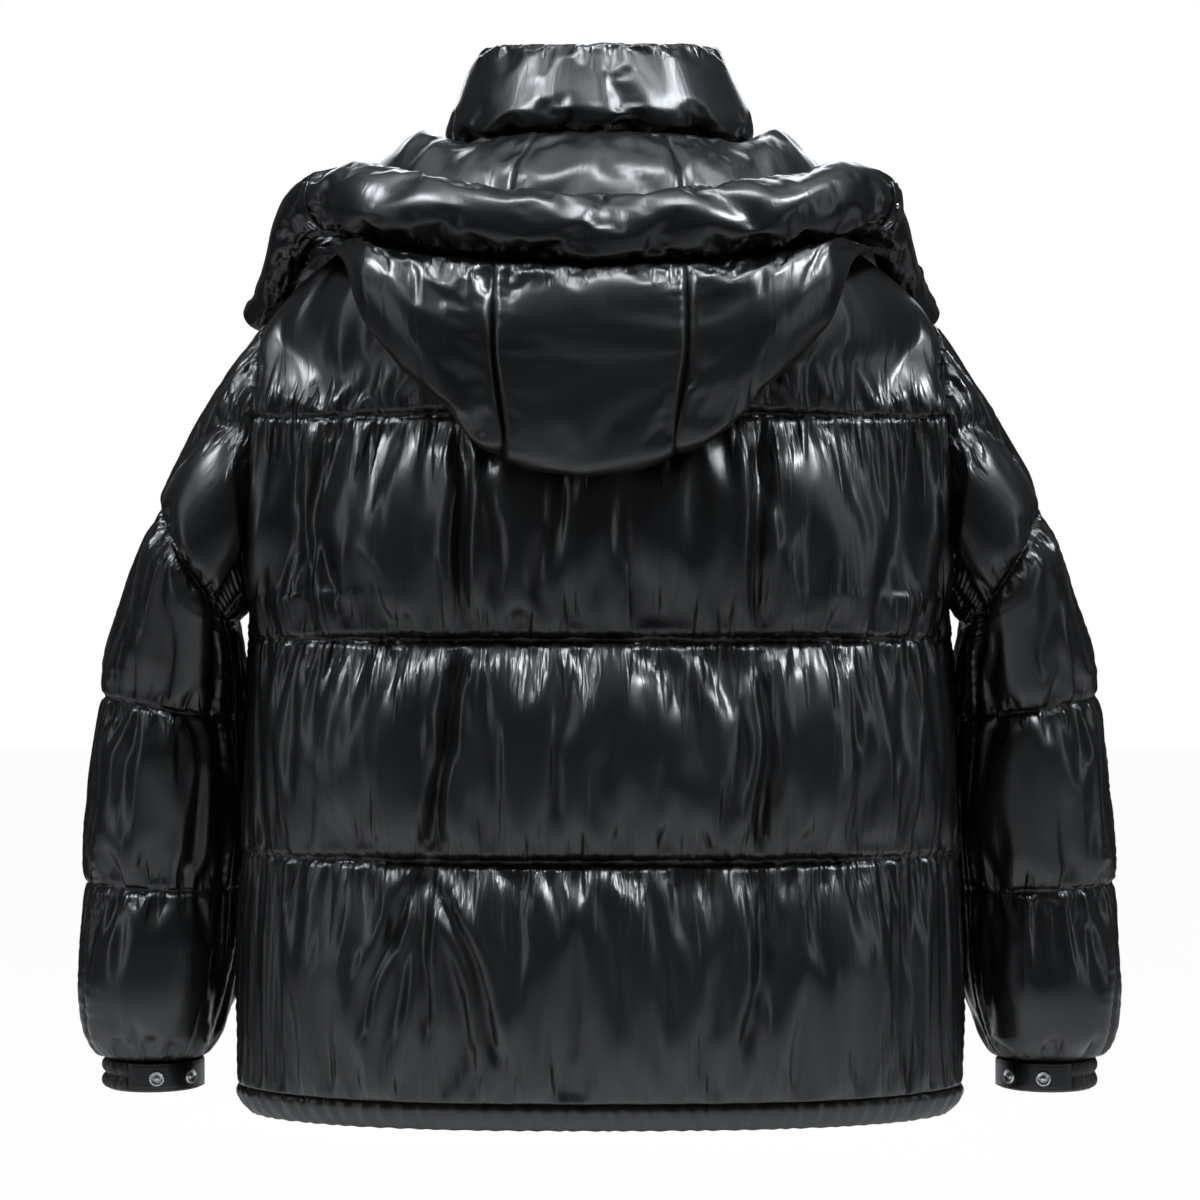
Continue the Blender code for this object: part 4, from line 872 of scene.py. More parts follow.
def cut_sleeves():
    middle = np.full(SAMPLES, 0.5)
    for side_name, sign, seed in (("right", 1.0, 31), ("left", -1.0, 41)):
        mirror = np.array([sign, 1.0, 1.0])
        for part, first, last, _ in SLEEVE_SPANS:
            turns = even_turns(lambda a: sleeve_point(a, middle), math.radians(first), math.radians(last),
                               SLEEVE_STEP)
            theta, v = grid_of(turns, sleeve_rows)
            out = sleeve_out(theta, v)
            thick = WALL_SEAM + START_FULL * (sleeve_thick(theta, v) - WALL_SEAM)
            start = sleeve_point(theta, v) + out * thick[..., None]
            held = np.zeros(theta.shape, bool)
            held[sleeve_quilted] = True
            in_cap = (v < SLEEVE_QUILTS[0]) & (sleeve_turn(theta) < CAP_V_ANGLE)
            held |= in_cap & (np.abs(v - cap_line(theta)) * CAP_LENGTH < 2.6)
            held |= (sleeve_turn(theta) > 150.0) & (v < 0.16)
            name = f"sleeve_{side_name}_{part}"
            opposite = sleeve_point(theta + math.pi, v)
            cut = eased(start, (sleeve_point(theta, v) + opposite) / 2, 0.11)
            panel(name, start * mirror, out * mirror, held, cut * mirror, push=2.6, seed=seed + len(part),
                  room=(3.0, 8.0, 7.0), stiff=0.4, comb=3, reach=9)


cut_sleeves()
print({name: p["start"].shape[:2] for name, p in panels.items() if "sleeve" in name})

# %% The collar's panel
COLLAR_STEP = 4.5
COLLAR_MIDDLE = np.array([0.0, 0.0, 40.0])


def cut_collar():
    phi, behind = turns_round(collar_point, NECK_HALF_X, 0.5, COLLAR_STEP)
    levels = banded((0.0, 1.0), counts((104.0,), COLLAR_STEP), 0.3)
    lining, out, thick = collar_wall(phi, behind, levels)
    free = np.zeros(thick.shape, bool)
    start = lining + out * thick[..., None]
    panel("collar", start, out, free, eased(start, COLLAR_MIDDLE, 0.055), push=2.2, seed=51, room=(3.0, 9.0, 7.0),
          stiff=2.0, crisp=0.8, nips=0.8, reach=7)
    return phi, behind


collar_phi, collar_behind = cut_collar()
print("collar:", panels["collar"]["start"].shape[:2])

# %% Panels of the hood
HOOD_STEP = 5.0
HOOD_SPACED = 3.6            # the points of a row are spaced for this place along the hood


def hood_turns(first, last):
    low = np.full(SAMPLES, HOOD_SPACED)
    return even_turns(lambda k: hood_point(k, low), first, last, HOOD_STEP)


hood_levels = banded((0.0, 2.0, 3.0, 5.0), counts((150.0, 100.0, 140.0), HOOD_STEP), 0.15)
HOOD_SPANS = (("hood_center", -1.0, 1.0, 61), ("hood_right", 1.0, 8.0, 62), ("hood_left", -8.0, -1.0, 63))


def wing_calm(k, middle):
    """How much of the fine folding stays on the hood: less of it out on its thin wings."""
    return 0.1 + (middle - 0.1) * ramp((6.2 - np.abs(k)) / 1.6)


def cut_hood():
    for name, first, last, seed in HOOD_SPANS:
        k, w = grid_of(hood_turns(first, last), hood_levels)
        out, thick = hood_wall(k, w)
        lining = hood_point(k, w)
        free = np.zeros(k.shape, bool)
        start = lining + out * thick[..., None]
        panel(name, start, out, free, start, push=1.1, seed=seed, room=(1.2, 4.0, 6.0), stiff=0.8, growth=0.02,
              streak=1, crisp=wing_calm(k, 0.7), nips=wing_calm(k, 0.9), reach=9)
        panel(name + "_inside", lining, -out, free, lining, push=0.7, seed=seed + 10, room=(3.0, 2.0, 6.0),
              stiff=0.2, growth=0.035, streak=1, crisp=wing_calm(k, 0.6), nips=0.2)


cut_hood()
print({name: p["start"].shape[:2] for name, p in panels.items() if "hood" in name})

# %% The roll round the hood's opening
RIM_STEP = 5.0
RIM_MIDDLE = np.array([0.0, 0.0, -50.0])
RIM_SHIFT = -6.5             # the roll hangs over a little further on the wearer's left
RIM_END = 8.0
STRAP_AT = 4.55              # where the two snap straps lie across the roll
RIM_SEAMS = (170.0, 322.0)   # degrees round the roll, from its top towards the back: foot and inner edge


def rim_ring(ks):
    centre = np.stack([read(RIM_RINGS, "k", key, np.abs(ks)) for key in "xyz"], -1)
    centre[:, 0] = centre[:, 0] * np.sign(ks) + RIM_SHIFT * ramp((np.abs(ks) - 4.0) / 2.0)
    radius = read(RIM_RINGS, "k", "r", np.abs(ks))
    tangent = unit(np.gradient(centre, axis=0))
    up = unit(np.array([0.0, 0.0, 1.0]) - tangent * tangent[:, 2:3])
    return centre, radius, up, np.cross(tangent, up)


def cut_rim():
    ks = even_turns(lambda k: np.stack([read(RIM_RINGS, "k", key, np.abs(k)) * (np.sign(k) if key == "x" else 1.0)
                                        for key in "xyz"], -1), -RIM_END, RIM_END, RIM_STEP)
    centre, radius, up, side = rim_ring(ks)
    around = np.radians(np.linspace(0.0, 360.0, int(32 / FINE), endpoint=False))
    spoke = up[:, None] * np.cos(around)[None, :, None] + side[:, None] * np.sin(around)[None, :, None]
    start = centre[:, None] + spoke * radius[:, None, None]
    sewn = np.zeros(start.shape[:2], bool)
    for seam in RIM_SEAMS:
        sewn[:, np.argmin(np.abs(around - math.radians(seam)))] = True
    under_strap = np.abs(np.abs(ks) - STRAP_AT) * np.linalg.norm(np.gradient(centre, ks, axis=0), axis=1) < 6.0
    sewn |= under_strap[:, None] & (around > math.radians(55.0)) & (around < math.radians(158.0))
    crisp, nips = wing_calm(ks[:, None] + 0 * around, 0.45), wing_calm(ks[:, None], 0.8)
    panel("hood_rim", start, spoke, sewn, eased(start, RIM_MIDDLE, 0.045), push=2.0, seed=71, ring=True,
          room=(2.0, 5.0, 5.0), stiff=0.6, streak=0, crisp=crisp, nips=nips, reach=5)


cut_rim()
print("points in all panels:", sum(p["start"][..., 0].size for p in panels.values()))

# %% [markdown]
# ## Letting the down push
#
# Cloth is simulated for a few frames. Every panel starts as it was cut, up to a tenth wider than its place, and
# its sewing draws it in, so the extra cloth has to go somewhere: it stands up in the short puckers that a
# quilted jacket is known for. A little pressure, outwards, plays the part of the down. There is no gravity:
# the garment is full.

# %% One panel as a cloth
SIM_FRAMES = 22
GATHER_FRAMES = 10           # frames over which the sewing draws the cloth in
BUMP_HEIGHT = 0.6            # small random bumps, from which the folds start to grow
NYLON = dict(quality=4, mass=0.15, tension_stiffness=40.0, compression_stiffness=40.0, shear_stiffness=10.0,
             tension_damping=5.0, compression_damping=5.0, shear_damping=5.0, bending_damping=0.5, air_damping=1.0,
             vertex_group_mass="sewn", pin_stiffness=1.0, use_pressure=True)


def cloth_object(name, p):
    rows, columns = p["start"].shape[:2]
    rng = np.random.default_rng(p["seed"])
    bumps = rng.normal(0.0, 1.0, (rows, columns))
    bumps = sum(np.roll(bumps, shift, 0) for shift in range(-p["streak"], p["streak"] + 1))
    bumps = blur(bumps, 1, p["ring"])
    bumps = bumps / bumps.std() * BUMP_HEIGHT * ~p["held"]
    points = (p["cut"] + p["out"] * bumps[..., None]) * MM
    mesh = bpy.data.meshes.new(name)
    mesh.from_pydata(points.reshape(-1, 3).tolist(), [], quads(rows, columns, p["ring"], p["flip"]).tolist())
    made = placed(name, mesh)
    made.shape_key_add(name="cut")
    sewn = made.shape_key_add(name="sewn")
    sewn.data.foreach_set("co", (p["start"] * MM).ravel())
    for frame_number, value in ((1, 0.0), (1 + GATHER_FRAMES, 1.0)):
        sewn.value = value
        sewn.keyframe_insert("value", frame=frame_number)
    pins = made.vertex_groups.new(name="sewn")
    pins.add(np.nonzero(p["held"].ravel())[0].tolist(), 1.0, "REPLACE")
    cloth = made.modifiers.new("cloth", "CLOTH")
    own = dict(bending_stiffness=p["stiff"], uniform_pressure_force=p["push"], shrink_min=-p["growth"])
    for key, value in (NYLON | own).items():
        setattr(cloth.settings, key, value)
    cloth.settings.effector_weights.gravity = 0.0
    cloth.collision_settings.use_collision = False
    cloth.collision_settings.use_self_collision = False
    cloth.point_cache.frame_start = 1
    cloth.point_cache.frame_end = SIM_FRAMES
    return made


print("cloth settles over", SIM_FRAMES, "frames")

# %% The simulation


def settle():
    for p in panels.values():
        p["flip"] = turned(p["start"], p["out"])
        p["cloth"] = p["start"].copy()
    made = {name: cloth_object("sim_" + name, p) for name, p in panels.items()}
    for frame_number in range(1, SIM_FRAMES + 1):
        bpy.context.scene.frame_set(frame_number)
    graph = bpy.context.evaluated_depsgraph_get()
    for name, obj in made.items():
        mesh = obj.evaluated_get(graph).data
        spots = np.empty(len(mesh.vertices) * 3)
        mesh.vertices.foreach_get("co", spots)
        panels[name]["cloth"] = spots.reshape(panels[name]["start"].shape) / MM
    for obj in made.values():
        mesh = obj.data
        bpy.data.objects.remove(obj, do_unlink=True)
        bpy.data.meshes.remove(mesh)
    for action in list(bpy.data.actions):
        bpy.data.actions.remove(action)
    bpy.context.scene.frame_set(1)


settle()
print("cloth settled after", round(time.time() - started, 1), "s")

# %% Keeping the garment's cut: broad swelling is taken back, puckers stay
BROAD = 4                    # a blur over this many points leaves only the broad swelling
FAR_STEPS = 14               # distances from the sewing are counted up to here
PUCKER_OUT, PUCKER_IN = 6.0, 5.0      # how much further than the broad form a pucker may stand


def limit(x, most, least):
    """Close to x while it is small, and never beyond the two limits."""
    top = np.where(x > 0, most, least)
    return x / (1 + (np.abs(x) / top) ** 3) ** (1 / 3)


def steps_from(held, ring, far=8):
    """Distance from the sewn points, in steps of the grid."""
    distance = np.where(held, 0.0, float(far))
    for _ in range(far):
        for axis in (0, 1):
            for shift in (1, -1):
                other = np.roll(distance, shift, axis)
                if not (ring and axis == 1):
                    edge = 0 if shift == 1 else -1
                    other = np.moveaxis(other, axis, 0)
                    other[edge] = far
                    other = np.moveaxis(other, 0, axis)
                distance = np.minimum(distance, other + 1.0)
    return distance


def comb(move, held, strokes):
    """Smooths along the folds only, from one row to the next, so that folds run straight between the seams."""
    for _ in range(strokes):
        move = np.where(held[..., None], 0.0, move)
        inner = 0.5 * move[1:-1] + 0.25 * (move[:-2] + move[2:])
        move = np.concatenate([move[:1], inner, move[-1:]])
    return np.where(held[..., None], 0.0, move)


def tame(p):
    out = p["out"]
    move = comb(p["cloth"] - p["start"], p["held"], p["comb"])
    broad = blur(move, BROAD, p["ring"])
    rise = np.sum(broad * out, -1)
    slide = broad - rise[..., None] * out
    most, least, aside = p["room"]
    kept = limit(rise, most, least)[..., None] * out
    far = np.linalg.norm(slide, axis=-1, keepdims=True)
    kept = kept + slide * (limit(far, aside, aside) / np.maximum(far, 1e-6))
    far = steps_from(p["held"], p["ring"], FAR_STEPS)
    free = ramp(far / 4.0)[..., None]
    calm = 1 - (1 - p["crisp"]) * ramp((far - 1.0) / 7.0)
    move = broad + (move - broad) * calm[..., None] - free * (broad - kept)
    rise = np.sum(move * out, -1)
    move = move + (limit(rise, most + PUCKER_OUT, least + PUCKER_IN) - rise)[..., None] * out
    p["cloth"] = p["start"] + np.where(p["held"][..., None], 0.0, move)
    return rise


for name, p in panels.items():
    rise = tame(p)
    print(f"{name:22s} stands {rise.max():5.1f} out and {-rise.min():5.1f} in")

# %% [markdown]
# ## Creases placed one by one
#
# A jacket that was folded in a bag keeps long soft creases. They run down from one quilting row to the next,
# and under the lowest row they spread like a fan. Each is one row of the table: where it starts and ends, how
# deep and how wide it is. The same kind of crease goes on the fronts, which are hidden from behind.

# %% Creases from tables: from x0, z0 to x1, z1, in millimetres, bowed sideways by the bend
BODY_CREASES = {
    "back": table("x0 z0 x1 z1 deep wide bend", (
        (-101.0, -205.0, -103.0, -348.0, 9.0, 6.0, 4.0),
        (-97.0, -362.0, -118.0, -506.0, 9.0, 6.0, -5.0),
        (117.0, -205.0, 115.0, -348.0, 8.5, 6.0, -4.0),
        (117.0, -364.0, 113.0, -508.0, 8.5, 6.0, 5.0),
        (-122.0, -520.0, -70.0, -662.0, 6.0, 6.0, 6.0),
        (-124.0, -520.0, -124.0, -640.0, 5.5, 6.0, -4.0),
        (-127.0, -521.0, -176.0, -644.0, 5.0, 6.0, -6.0),
        (116.0, -520.0, 104.0, -650.0, 5.5, 6.0, 4.0),
    )),
    "front": table("x0 z0 x1 z1 deep wide bend", (
        (-112.0, -205.0, -106.0, -348.0, 6.0, 9.0, 4.0),
        (109.0, -205.0, 112.0, -348.0, 6.0, 9.0, -4.0),
        (-104.0, -362.0, -116.0, -506.0, 6.0, 9.0, 5.0),
        (112.0, -362.0, 106.0, -506.0, 6.0, 9.0, -5.0),
        (118.0, -520.0, 78.0, -655.0, 4.0, 8.0, 5.0),
        (-120.0, -520.0, -96.0, -655.0, 4.0, 8.0, 5.0),
    )),
}


def crease(points, out, table):
    """Presses long soft valleys into a grid, with a low ridge on both sides of each."""
    x, z = points[..., 0], points[..., 2]
    depth = np.zeros(x.shape)
    for line in table:
        t = (z - line["z0"]) / (line["z1"] - line["z0"])
        wander = line["bend"] * np.sin(math.pi * np.clip(t, 0.0, 1.0)) + 1.6 * np.sin(t * 9.0 + line["x0"])
        away = (x - line["x0"] - (line["x1"] - line["x0"]) * t - wander) / line["wide"]
        along = ramp((t + 0.06) / 0.22) * ramp((1.06 - t) / 0.22)
        valley = np.exp(-np.abs(away) ** 1.5) - 0.35 * np.exp(-((np.abs(away) - 1.7) / 0.9) ** 2)
        depth += line["deep"] * along * valley
    return points - out * depth[..., None]


for name in ("back", "front_left", "front_right"):
    panels[name]["creases"] = BODY_CREASES["back" if name == "back" else "front"]
print("creases on the body:", sum(len(t) for t in BODY_CREASES.values()))

# %% [markdown]
# ## Closed padded walls
#
# A panel of a down jacket has a shell outside, a lining inside and down between them. Each wall below is one
# closed skin: the fine puckered grid outside, a plain coarse grid inside, and a narrow edge laced between
# them where the maker's seam is.

# %% Small irregular gathers along a seam
NIP_PITCH = 8.5
NIP_HEIGHT = 2.4
NIP_REACH = 12.0
SEAM_WANDER = 1.1            # the sewn line itself is drawn up and down a little by each gather
CELL = 4.5                   # about one step of the simulated grids


def gather_run(length, pitch, seed):
    """Height and lean of small irregular folds along a length, both as functions of the place."""
    rng = np.random.default_rng(seed)
    gaps = rng.uniform(0.6, 1.45, int(length / pitch) + 4) * pitch
    knots = np.concatenate([[-pitch], np.cumsum(gaps) - pitch])
    high = rng.uniform(0.45, 1.0, len(knots))

    def at(place):
        phase = np.interp(place, knots, np.arange(len(knots)))
        crest = 0.5 - 0.5 * np.cos(2 * math.pi * phase)
        return crest ** 0.8 * np.interp(place, knots, high)

    return at


print("nips along a back seam:", round(560.0 / NIP_PITCH))

# %% Lengths along a grid, and lacing two edges together


def run_lengths(grid):
    """Distances along the rows and the columns of a grid, which stay with the cloth as its weave does."""
    u = np.zeros(grid.shape[:2])
    v = np.zeros(grid.shape[:2])
    middle = grid[grid.shape[0] // 2]
    u[:, 1:] = np.cumsum(np.linalg.norm(np.diff(middle, axis=0), axis=-1))[None, :]
    middle = grid[:, grid.shape[1] // 2]
    v[1:] = np.cumsum(np.linalg.norm(np.diff(middle, axis=0), axis=-1))[:, None]
    return np.stack([u, v], -1)


def lace(points, a, b):
    """Triangles between two lines of point numbers that need not match in count."""
    faces = []
    i = j = 0
    while i < len(a) - 1 or j < len(b) - 1:
        if j == len(b) - 1:
            step_a = True
        elif i == len(a) - 1:
            step_a = False
        else:
            step_a = (np.linalg.norm(points[a[i + 1]] - points[b[j]])
                      <= np.linalg.norm(points[b[j + 1]] - points[a[i]]))
        if step_a:
            faces.append((a[i], a[i + 1], b[j]))
            i += 1
        else:
            faces.append((a[i], b[j + 1], b[j]))
            j += 1
    return faces


print("lacing 3 points to 2 takes", len(lace(np.zeros((5, 3)), [0, 1, 2], [3, 4])), "triangles")

# %% Pieces that ride on the frame's bodies
made_pieces = {}
finish_of = {}               # which slot's finish each piece takes


def add_piece(name, points, faces, slot, nodes=(), body=JACKET, flat=None, sewn=None):
    """One mesh object at the origin, riding on a body, in place of the frame's nodes."""
    if not np.isfinite(np.asarray(points, dtype=float)).all():
        raise ValueError(name + " has a point that isn't a number")
    mesh = bpy.data.meshes.new(name)
    mesh.from_pydata((np.asarray(points) * MM).tolist(), [], faces)
    work = bmesh.new()
    work.from_mesh(mesh)
    bmesh.ops.recalc_face_normals(work, faces=work.faces)
    if work.calc_volume(signed=True) < 0:
        bmesh.ops.reverse_faces(work, faces=work.faces)
    work.to_mesh(mesh)
    work.free()
    mesh.polygons.foreach_set("use_smooth", np.ones(len(mesh.polygons), bool))
    if flat is not None:
        corner = np.empty(len(mesh.loops), int)
        mesh.loops.foreach_get("vertex_index", corner)
        layer = mesh.uv_layers.new(name="cut")
        layer.data.foreach_set("uv", (np.asarray(flat)[corner] * MM).ravel())
    if sewn is not None:
        near = mesh.attributes.new("sewn", "FLOAT", "POINT")
        near.data.foreach_set("value", np.asarray(sewn, float).ravel())
    made = placed(name, mesh)
    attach(made, body)
    if nodes:
        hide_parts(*nodes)
    made_pieces[name] = made
    finish_of[name] = slot
    return made


print("pieces will ride on", JACKET, "or", PULL)

# %% A padded wall, and a closed tube


def wall(name, outer, inner, slot, nodes=(), ring=False, sewn=None, body=JACKET):
    rows, columns = outer.shape[:2]
    rows_in, columns_in = inner.shape[:2]
    points = np.concatenate([outer.reshape(-1, 3), inner.reshape(-1, 3)])
    base = rows * columns
    faces = quads(rows, columns, ring, False).tolist()
    faces += (quads(rows_in, columns_in, ring, True) + base).tolist()
    outside = np.arange(rows * columns).reshape(rows, columns)
    inside = base + np.arange(rows_in * columns_in).reshape(rows_in, columns_in)
    for i in (0, -1):
        a, b = outside[i].tolist(), inside[i].tolist()
        if ring:
            a, b = a + a[:1], b + b[:1]
        faces += lace(points, a, b)
    if not ring:
        for j in (0, -1):
            faces += lace(points, outside[:, j].tolist(), inside[:, j].tolist())
    flat = np.concatenate([run_lengths(outer).reshape(-1, 2), run_lengths(inner).reshape(-1, 2)])
    near = np.zeros(len(points))
    if sewn is not None:
        near[:base] = sewn.ravel()
    made = add_piece(name, points, faces, slot, nodes, body, flat, near)
    return made


def capped(loops, ends):
    """Points and faces of a closed skin through a run of rings, with one point in the middle of each end."""
    count, around = loops.shape[:2]
    faces = quads(count, around, True, False).tolist()
    total = count * around
    for j in range(around):
        n = (j + 1) % around
        faces.append((j, n, total))
        faces.append((total - around + n, total - around + j, total + 1))
    return np.concatenate([loops.reshape(-1, 3), ends]), faces


def closed_tube(name, loops, slot, nodes, sewn=None):
    points, faces = capped(loops, np.stack([loops[0].mean(0), loops[-1].mean(0)]))
    flat = np.concatenate([run_lengths(loops)[..., ::-1].reshape(-1, 2), np.zeros((2, 2))])
    near = np.zeros(len(points))
    if sewn is not None:
        near[:sewn.size] = sewn.ravel()
    made = add_piece(name, points, faces, slot, nodes, flat=flat, sewn=near)
    return made


print("a tube of 2 rings of 8 points has", len(capped(np.zeros((2, 8, 3)), np.zeros((2, 3)))[1]), "faces")

# %% The settled cloth in fine detail


def border_of(shape, ring):
    border = np.zeros(shape, bool)
    border[0] = border[-1] = True
    if not ring:
        border[:, 0] = border[:, -1] = True
    return border


def gathers(run, away, seed):
    """Small ridges across a seam: how high each stands, and how far it draws the seam up or down."""
    long = run.max() + 20.0
    reach = NIP_REACH * (0.5 + gather_run(long, 2.3 * NIP_PITCH, seed + 200)(run))
    ridge = gather_run(long, NIP_PITCH, seed + 100)(run + 0.12 * away) - 0.5
    wander = gather_run(long, 1.7 * NIP_PITCH, seed + 300)(run) - 0.4
    return NIP_HEIGHT * ridge * np.exp(-(away / reach) ** 1.5), SEAM_WANDER * wander * np.exp(-away / NIP_REACH)


def fine(p):
    """The settled cloth at twice its detail, with how near each point is to the sewing. Beside the stitching
    the thread draws up small nips, which are too fine for the simulated grid."""
    held, ring = p["held"], p["ring"]
    in_row, in_column = held.mean(1) > 0.8, held.mean(0) > 0.8
    upright = held & in_column[None, :] & ~in_row[:, None]
    level = held & ~upright
    near = 1 - steps_from(upright if ring else level, ring, p["reach"]) / p["reach"]
    near = np.clip(doubled(near[..., None], ring)[..., 0], 0.0, 1.0)
    grid = doubled(p["cloth"], ring)
    out = unit(doubled(p["out"], ring))
    grid = crease(grid, out, p.get("creases", ()))
    run = run_lengths(grid)
    free = steps_from(border_of(grid.shape[:2], ring), ring, 4) / 4.0
    share = np.broadcast_to(p["nips"], held.shape)
    free = free * np.clip(doubled(share[..., None], ring)[..., 0], 0.0, 1.0)
    for marks, axis in ((level, 0), (upright, 1)):
        away = np.maximum(doubled(steps_from(marks, ring)[..., None], ring)[..., 0], 0.0) * CELL
        high, drawn = gathers(run[..., axis], away, p["seed"] + 7 * axis)
        along = unit(np.gradient(grid, axis=1 - axis))
        grid = grid + out * (high * free)[..., None] + np.cross(out, along) * (drawn * free)[..., None]
    p["skin"], p["skin_out"] = grid, out
    return grid, near


def every(values, step):
    """Each step-th value, always with the last one."""
    keep = list(range(0, len(values) - 1, step)) + [len(values) - 1]
    return values[keep]


print("every third of ten:", every(np.arange(10), 3))

# %% Body and sleeves
low = np.full(SAMPLES, BODY_LEVEL)
lining_rows = every(body_rows, 8)
outer, near = fine(panels["back"])
turns = even_turns(lambda p: body_point(p, low, -1), -math.pi / 2, math.pi / 2, 30.0)
wall("down_back", outer, body_point(*grid_of(turns, lining_rows), -1), "shell", ["back"], sewn=near)

for side_name, sign in SIDES:
    outer, near = fine(panels["front_" + side_name])
    phi = front_turns(lining_rows, np.linspace(0.0, 1.0, 16))
    inner = body_point(sign * phi, lining_rows[:, None] * np.ones_like(phi), 1)
    wall("down_front_" + side_name, outer, inner, "shell", ["front_" + side_name], sewn=near)
    for part, first, last, columns in SLEEVE_SPANS:
        name = f"sleeve_{side_name}_{part}"
        outer, near = fine(panels[name])
        theta, v = grid_of(np.radians(np.linspace(first, last, columns)), every(sleeve_rows, 7))
        inner = sleeve_point(theta, v) * np.array([sign, 1.0, 1.0])
        wall("down_" + name, outer, inner, "shell", [name], sewn=near)
print("body and sleeves:", len(made_pieces), "pieces")

# %% Collar, hood and roll
outer, near = fine(panels["collar"])
inner = collar_wall(every(collar_phi, 3), every(collar_behind, 3), np.linspace(0.0, 1.0, 6))[0]
wall("down_collar", outer, inner, "shell", ["collar"], sewn=near)
for name, first, last, seed in HOOD_SPANS:
    outer, near = fine(panels[name])
    inner = panels[name + "_inside"]["cloth"]
    wall("down_" + name, outer, inner, "shell", [name], sewn=near)
outer, near = fine(panels["hood_rim"])
closed_tube("down_hood_rim", outer, "shell", ["hood_rim"], near)
print("pieces so far:", len(made_pieces), "after", round(time.time() - started, 1), "s")

# %% [markdown]
# ## Gathered casing and cuffs
#
# A cord runs inside the hem band and draws it in, so the band stands in small upright gathers. The cuffs are
# gathered on a flat elastic for three fifths of their turn, in two rows with a pinched line between, and are
# smooth where the snap strap lies on them.

# %% The hem's casing
HEM_STEP = 2.0
HEM_DEEP = 22.0
HEM_SECTION = ((-1.0, -0.4), (5.0, -0.4), (8.0, -7.0), (3.5, -16.0), (-4.0, -HEM_DEEP), (-8.0, -12.0))


def hem_seam():
    """The hem seam from the zip's right edge round the back to its left edge."""
    phi, behind = turns_round(body_point, HEM_HALF_X, HEM_Z, HEM_STEP)
    low = np.full_like(phi, HEM_Z)
    ring = np.where(behind[:, None], body_point(phi, low, -1), body_point(phi, low, 1))
    out = np.where(behind[:, None], body_out(phi, low, -1), body_out(phi, low, 1))
    return ring, unit(out * np.array([1.0, 1.0, 0.0]))


def round_section(corners, each):
    """Closed smooth loop through a few corners, which starts on the first one."""
    c = np.array(corners)
    before, after, second = np.roll(c, 1, 0), np.roll(c, -1, 0), np.roll(c, -2, 0)
    t = (np.arange(each) / each)[None, :, None]
    p0, p1, p2, p3 = before[:, None], c[:, None], after[:, None], second[:, None]
    loop = 0.5 * (2 * p1 + (p2 - p0) * t + (2 * p0 - 5 * p1 + 4 * p2 - p3) * t ** 2
                  + (3 * p1 - p0 - 3 * p2 + p3) * t ** 3)
    return loop.reshape(-1, 2)


def sew_hem():
    ring, out = hem_seam()
    run = np.concatenate([[0.0], np.cumsum(np.linalg.norm(np.diff(ring, axis=0), axis=1))])
    section = round_section(HEM_SECTION, 4)
    coarse, small = gather_run(run[-1], 13.0, 5), gather_run(run[-1], 5.5, 6)
    loops = np.zeros((len(ring), len(section), 3))
    for i, (push, drop) in enumerate(section):
        depth = np.clip(-drop / HEM_DEEP, 0.0, 1.0)
        lean = 3.0 * depth
        free = (0.25 + 0.75 * math.sin(math.pi * min(depth * 1.05, 1.0))) * ramp(np.array(push + 3.0) / 6.0)
        fold = 2.9 * coarse(run + lean) + 1.1 * small(run - lean) - 1.9
        loops[:, i] = ring + out * (push + free * fold)[:, None]
        loops[:, i, 2] = HEM_Z + drop + 0.9 * depth * (coarse(run + 2.0) - 0.5) * (drop < -14.0)
    closed_tube("hem_casing", loops, "shell", ["hem_band"])
    return run[-1]


print("hem band runs", round(sew_hem()), "mm round the body")

# %% The cuffs
CUFF_FLAT = (62.0, 205.0)    # degrees between which a cuff is smooth, under its strap
RIB_PITCH = 6.2
RIB_HEIGHT = 3.3
RIB_RADIUS = 37.0            # turns a cuff's angle into millimetres
CUFF_GIRTH = 232.0


def cuff_spot(theta, z, out):
    x = CUFF_CENTRE_X + (CUFF_HALF_X + out) * np.cos(theta)
    return np.stack([x, CUFF_CENTRE_Y - (CUFF_HALF_Y + out) * np.sin(theta), z], -1)


def sew_cuffs():
    count = int(288 / FINE)
    levels = np.linspace(CUFF_TOP_Z, CUFF_BOTTOM_Z, 17)
    for side_name, sign, seed in (("right", 1.0, 81), ("left", -1.0, 82)):
        theta, z = grid_of(np.linspace(0.0, 2 * math.pi, count, endpoint=False), levels)
        turn = np.degrees(theta)
        ribs = gather_run(260.0, RIB_PITCH, seed)(theta * RIB_RADIUS % CUFF_GIRTH)
        elastic = 1 - ramp((turn - CUFF_FLAT[0]) / 8.0) * ramp((CUFF_FLAT[1] - turn) / 8.0)
        row = (CUFF_TOP_Z - z) / (CUFF_TOP_Z - CUFF_BOTTOM_Z)
        belly = np.abs(np.sin(2 * math.pi * row)) ** 0.6
        edge = dome(np.minimum(row, 1 - row) * (CUFF_TOP_Z - CUFF_BOTTOM_Z), 3.0)
        out = CUFF_WALL - 1.4 + 1.4 * edge + elastic * belly * (0.5 + RIB_HEIGHT * ribs)
        mirror = np.array([sign, 1.0, 1.0])
        inner = cuff_spot(*grid_of(np.linspace(0.0, 2 * math.pi, 40, endpoint=False), levels[::8]), 0.0)
        made = wall("ribbed_cuff_" + side_name, cuff_spot(theta, z, out) * mirror, inner * mirror, "elastic",
                    ["cuff_" + side_name], ring=True, sewn=elastic)


sew_cuffs()
print("cuffs sewn; pieces:", len(made_pieces))

# %% [markdown]
# ## Snaps, straps, zip
#
# The small hard parts carry much of the look. A ring snap is a turned part, so its outline is spun about its
# axis. The slider and its tab start as copies of the frame's own solids, with their loose triangles merged
# and their edges rounded, so that they stay exactly where the joint needs them.

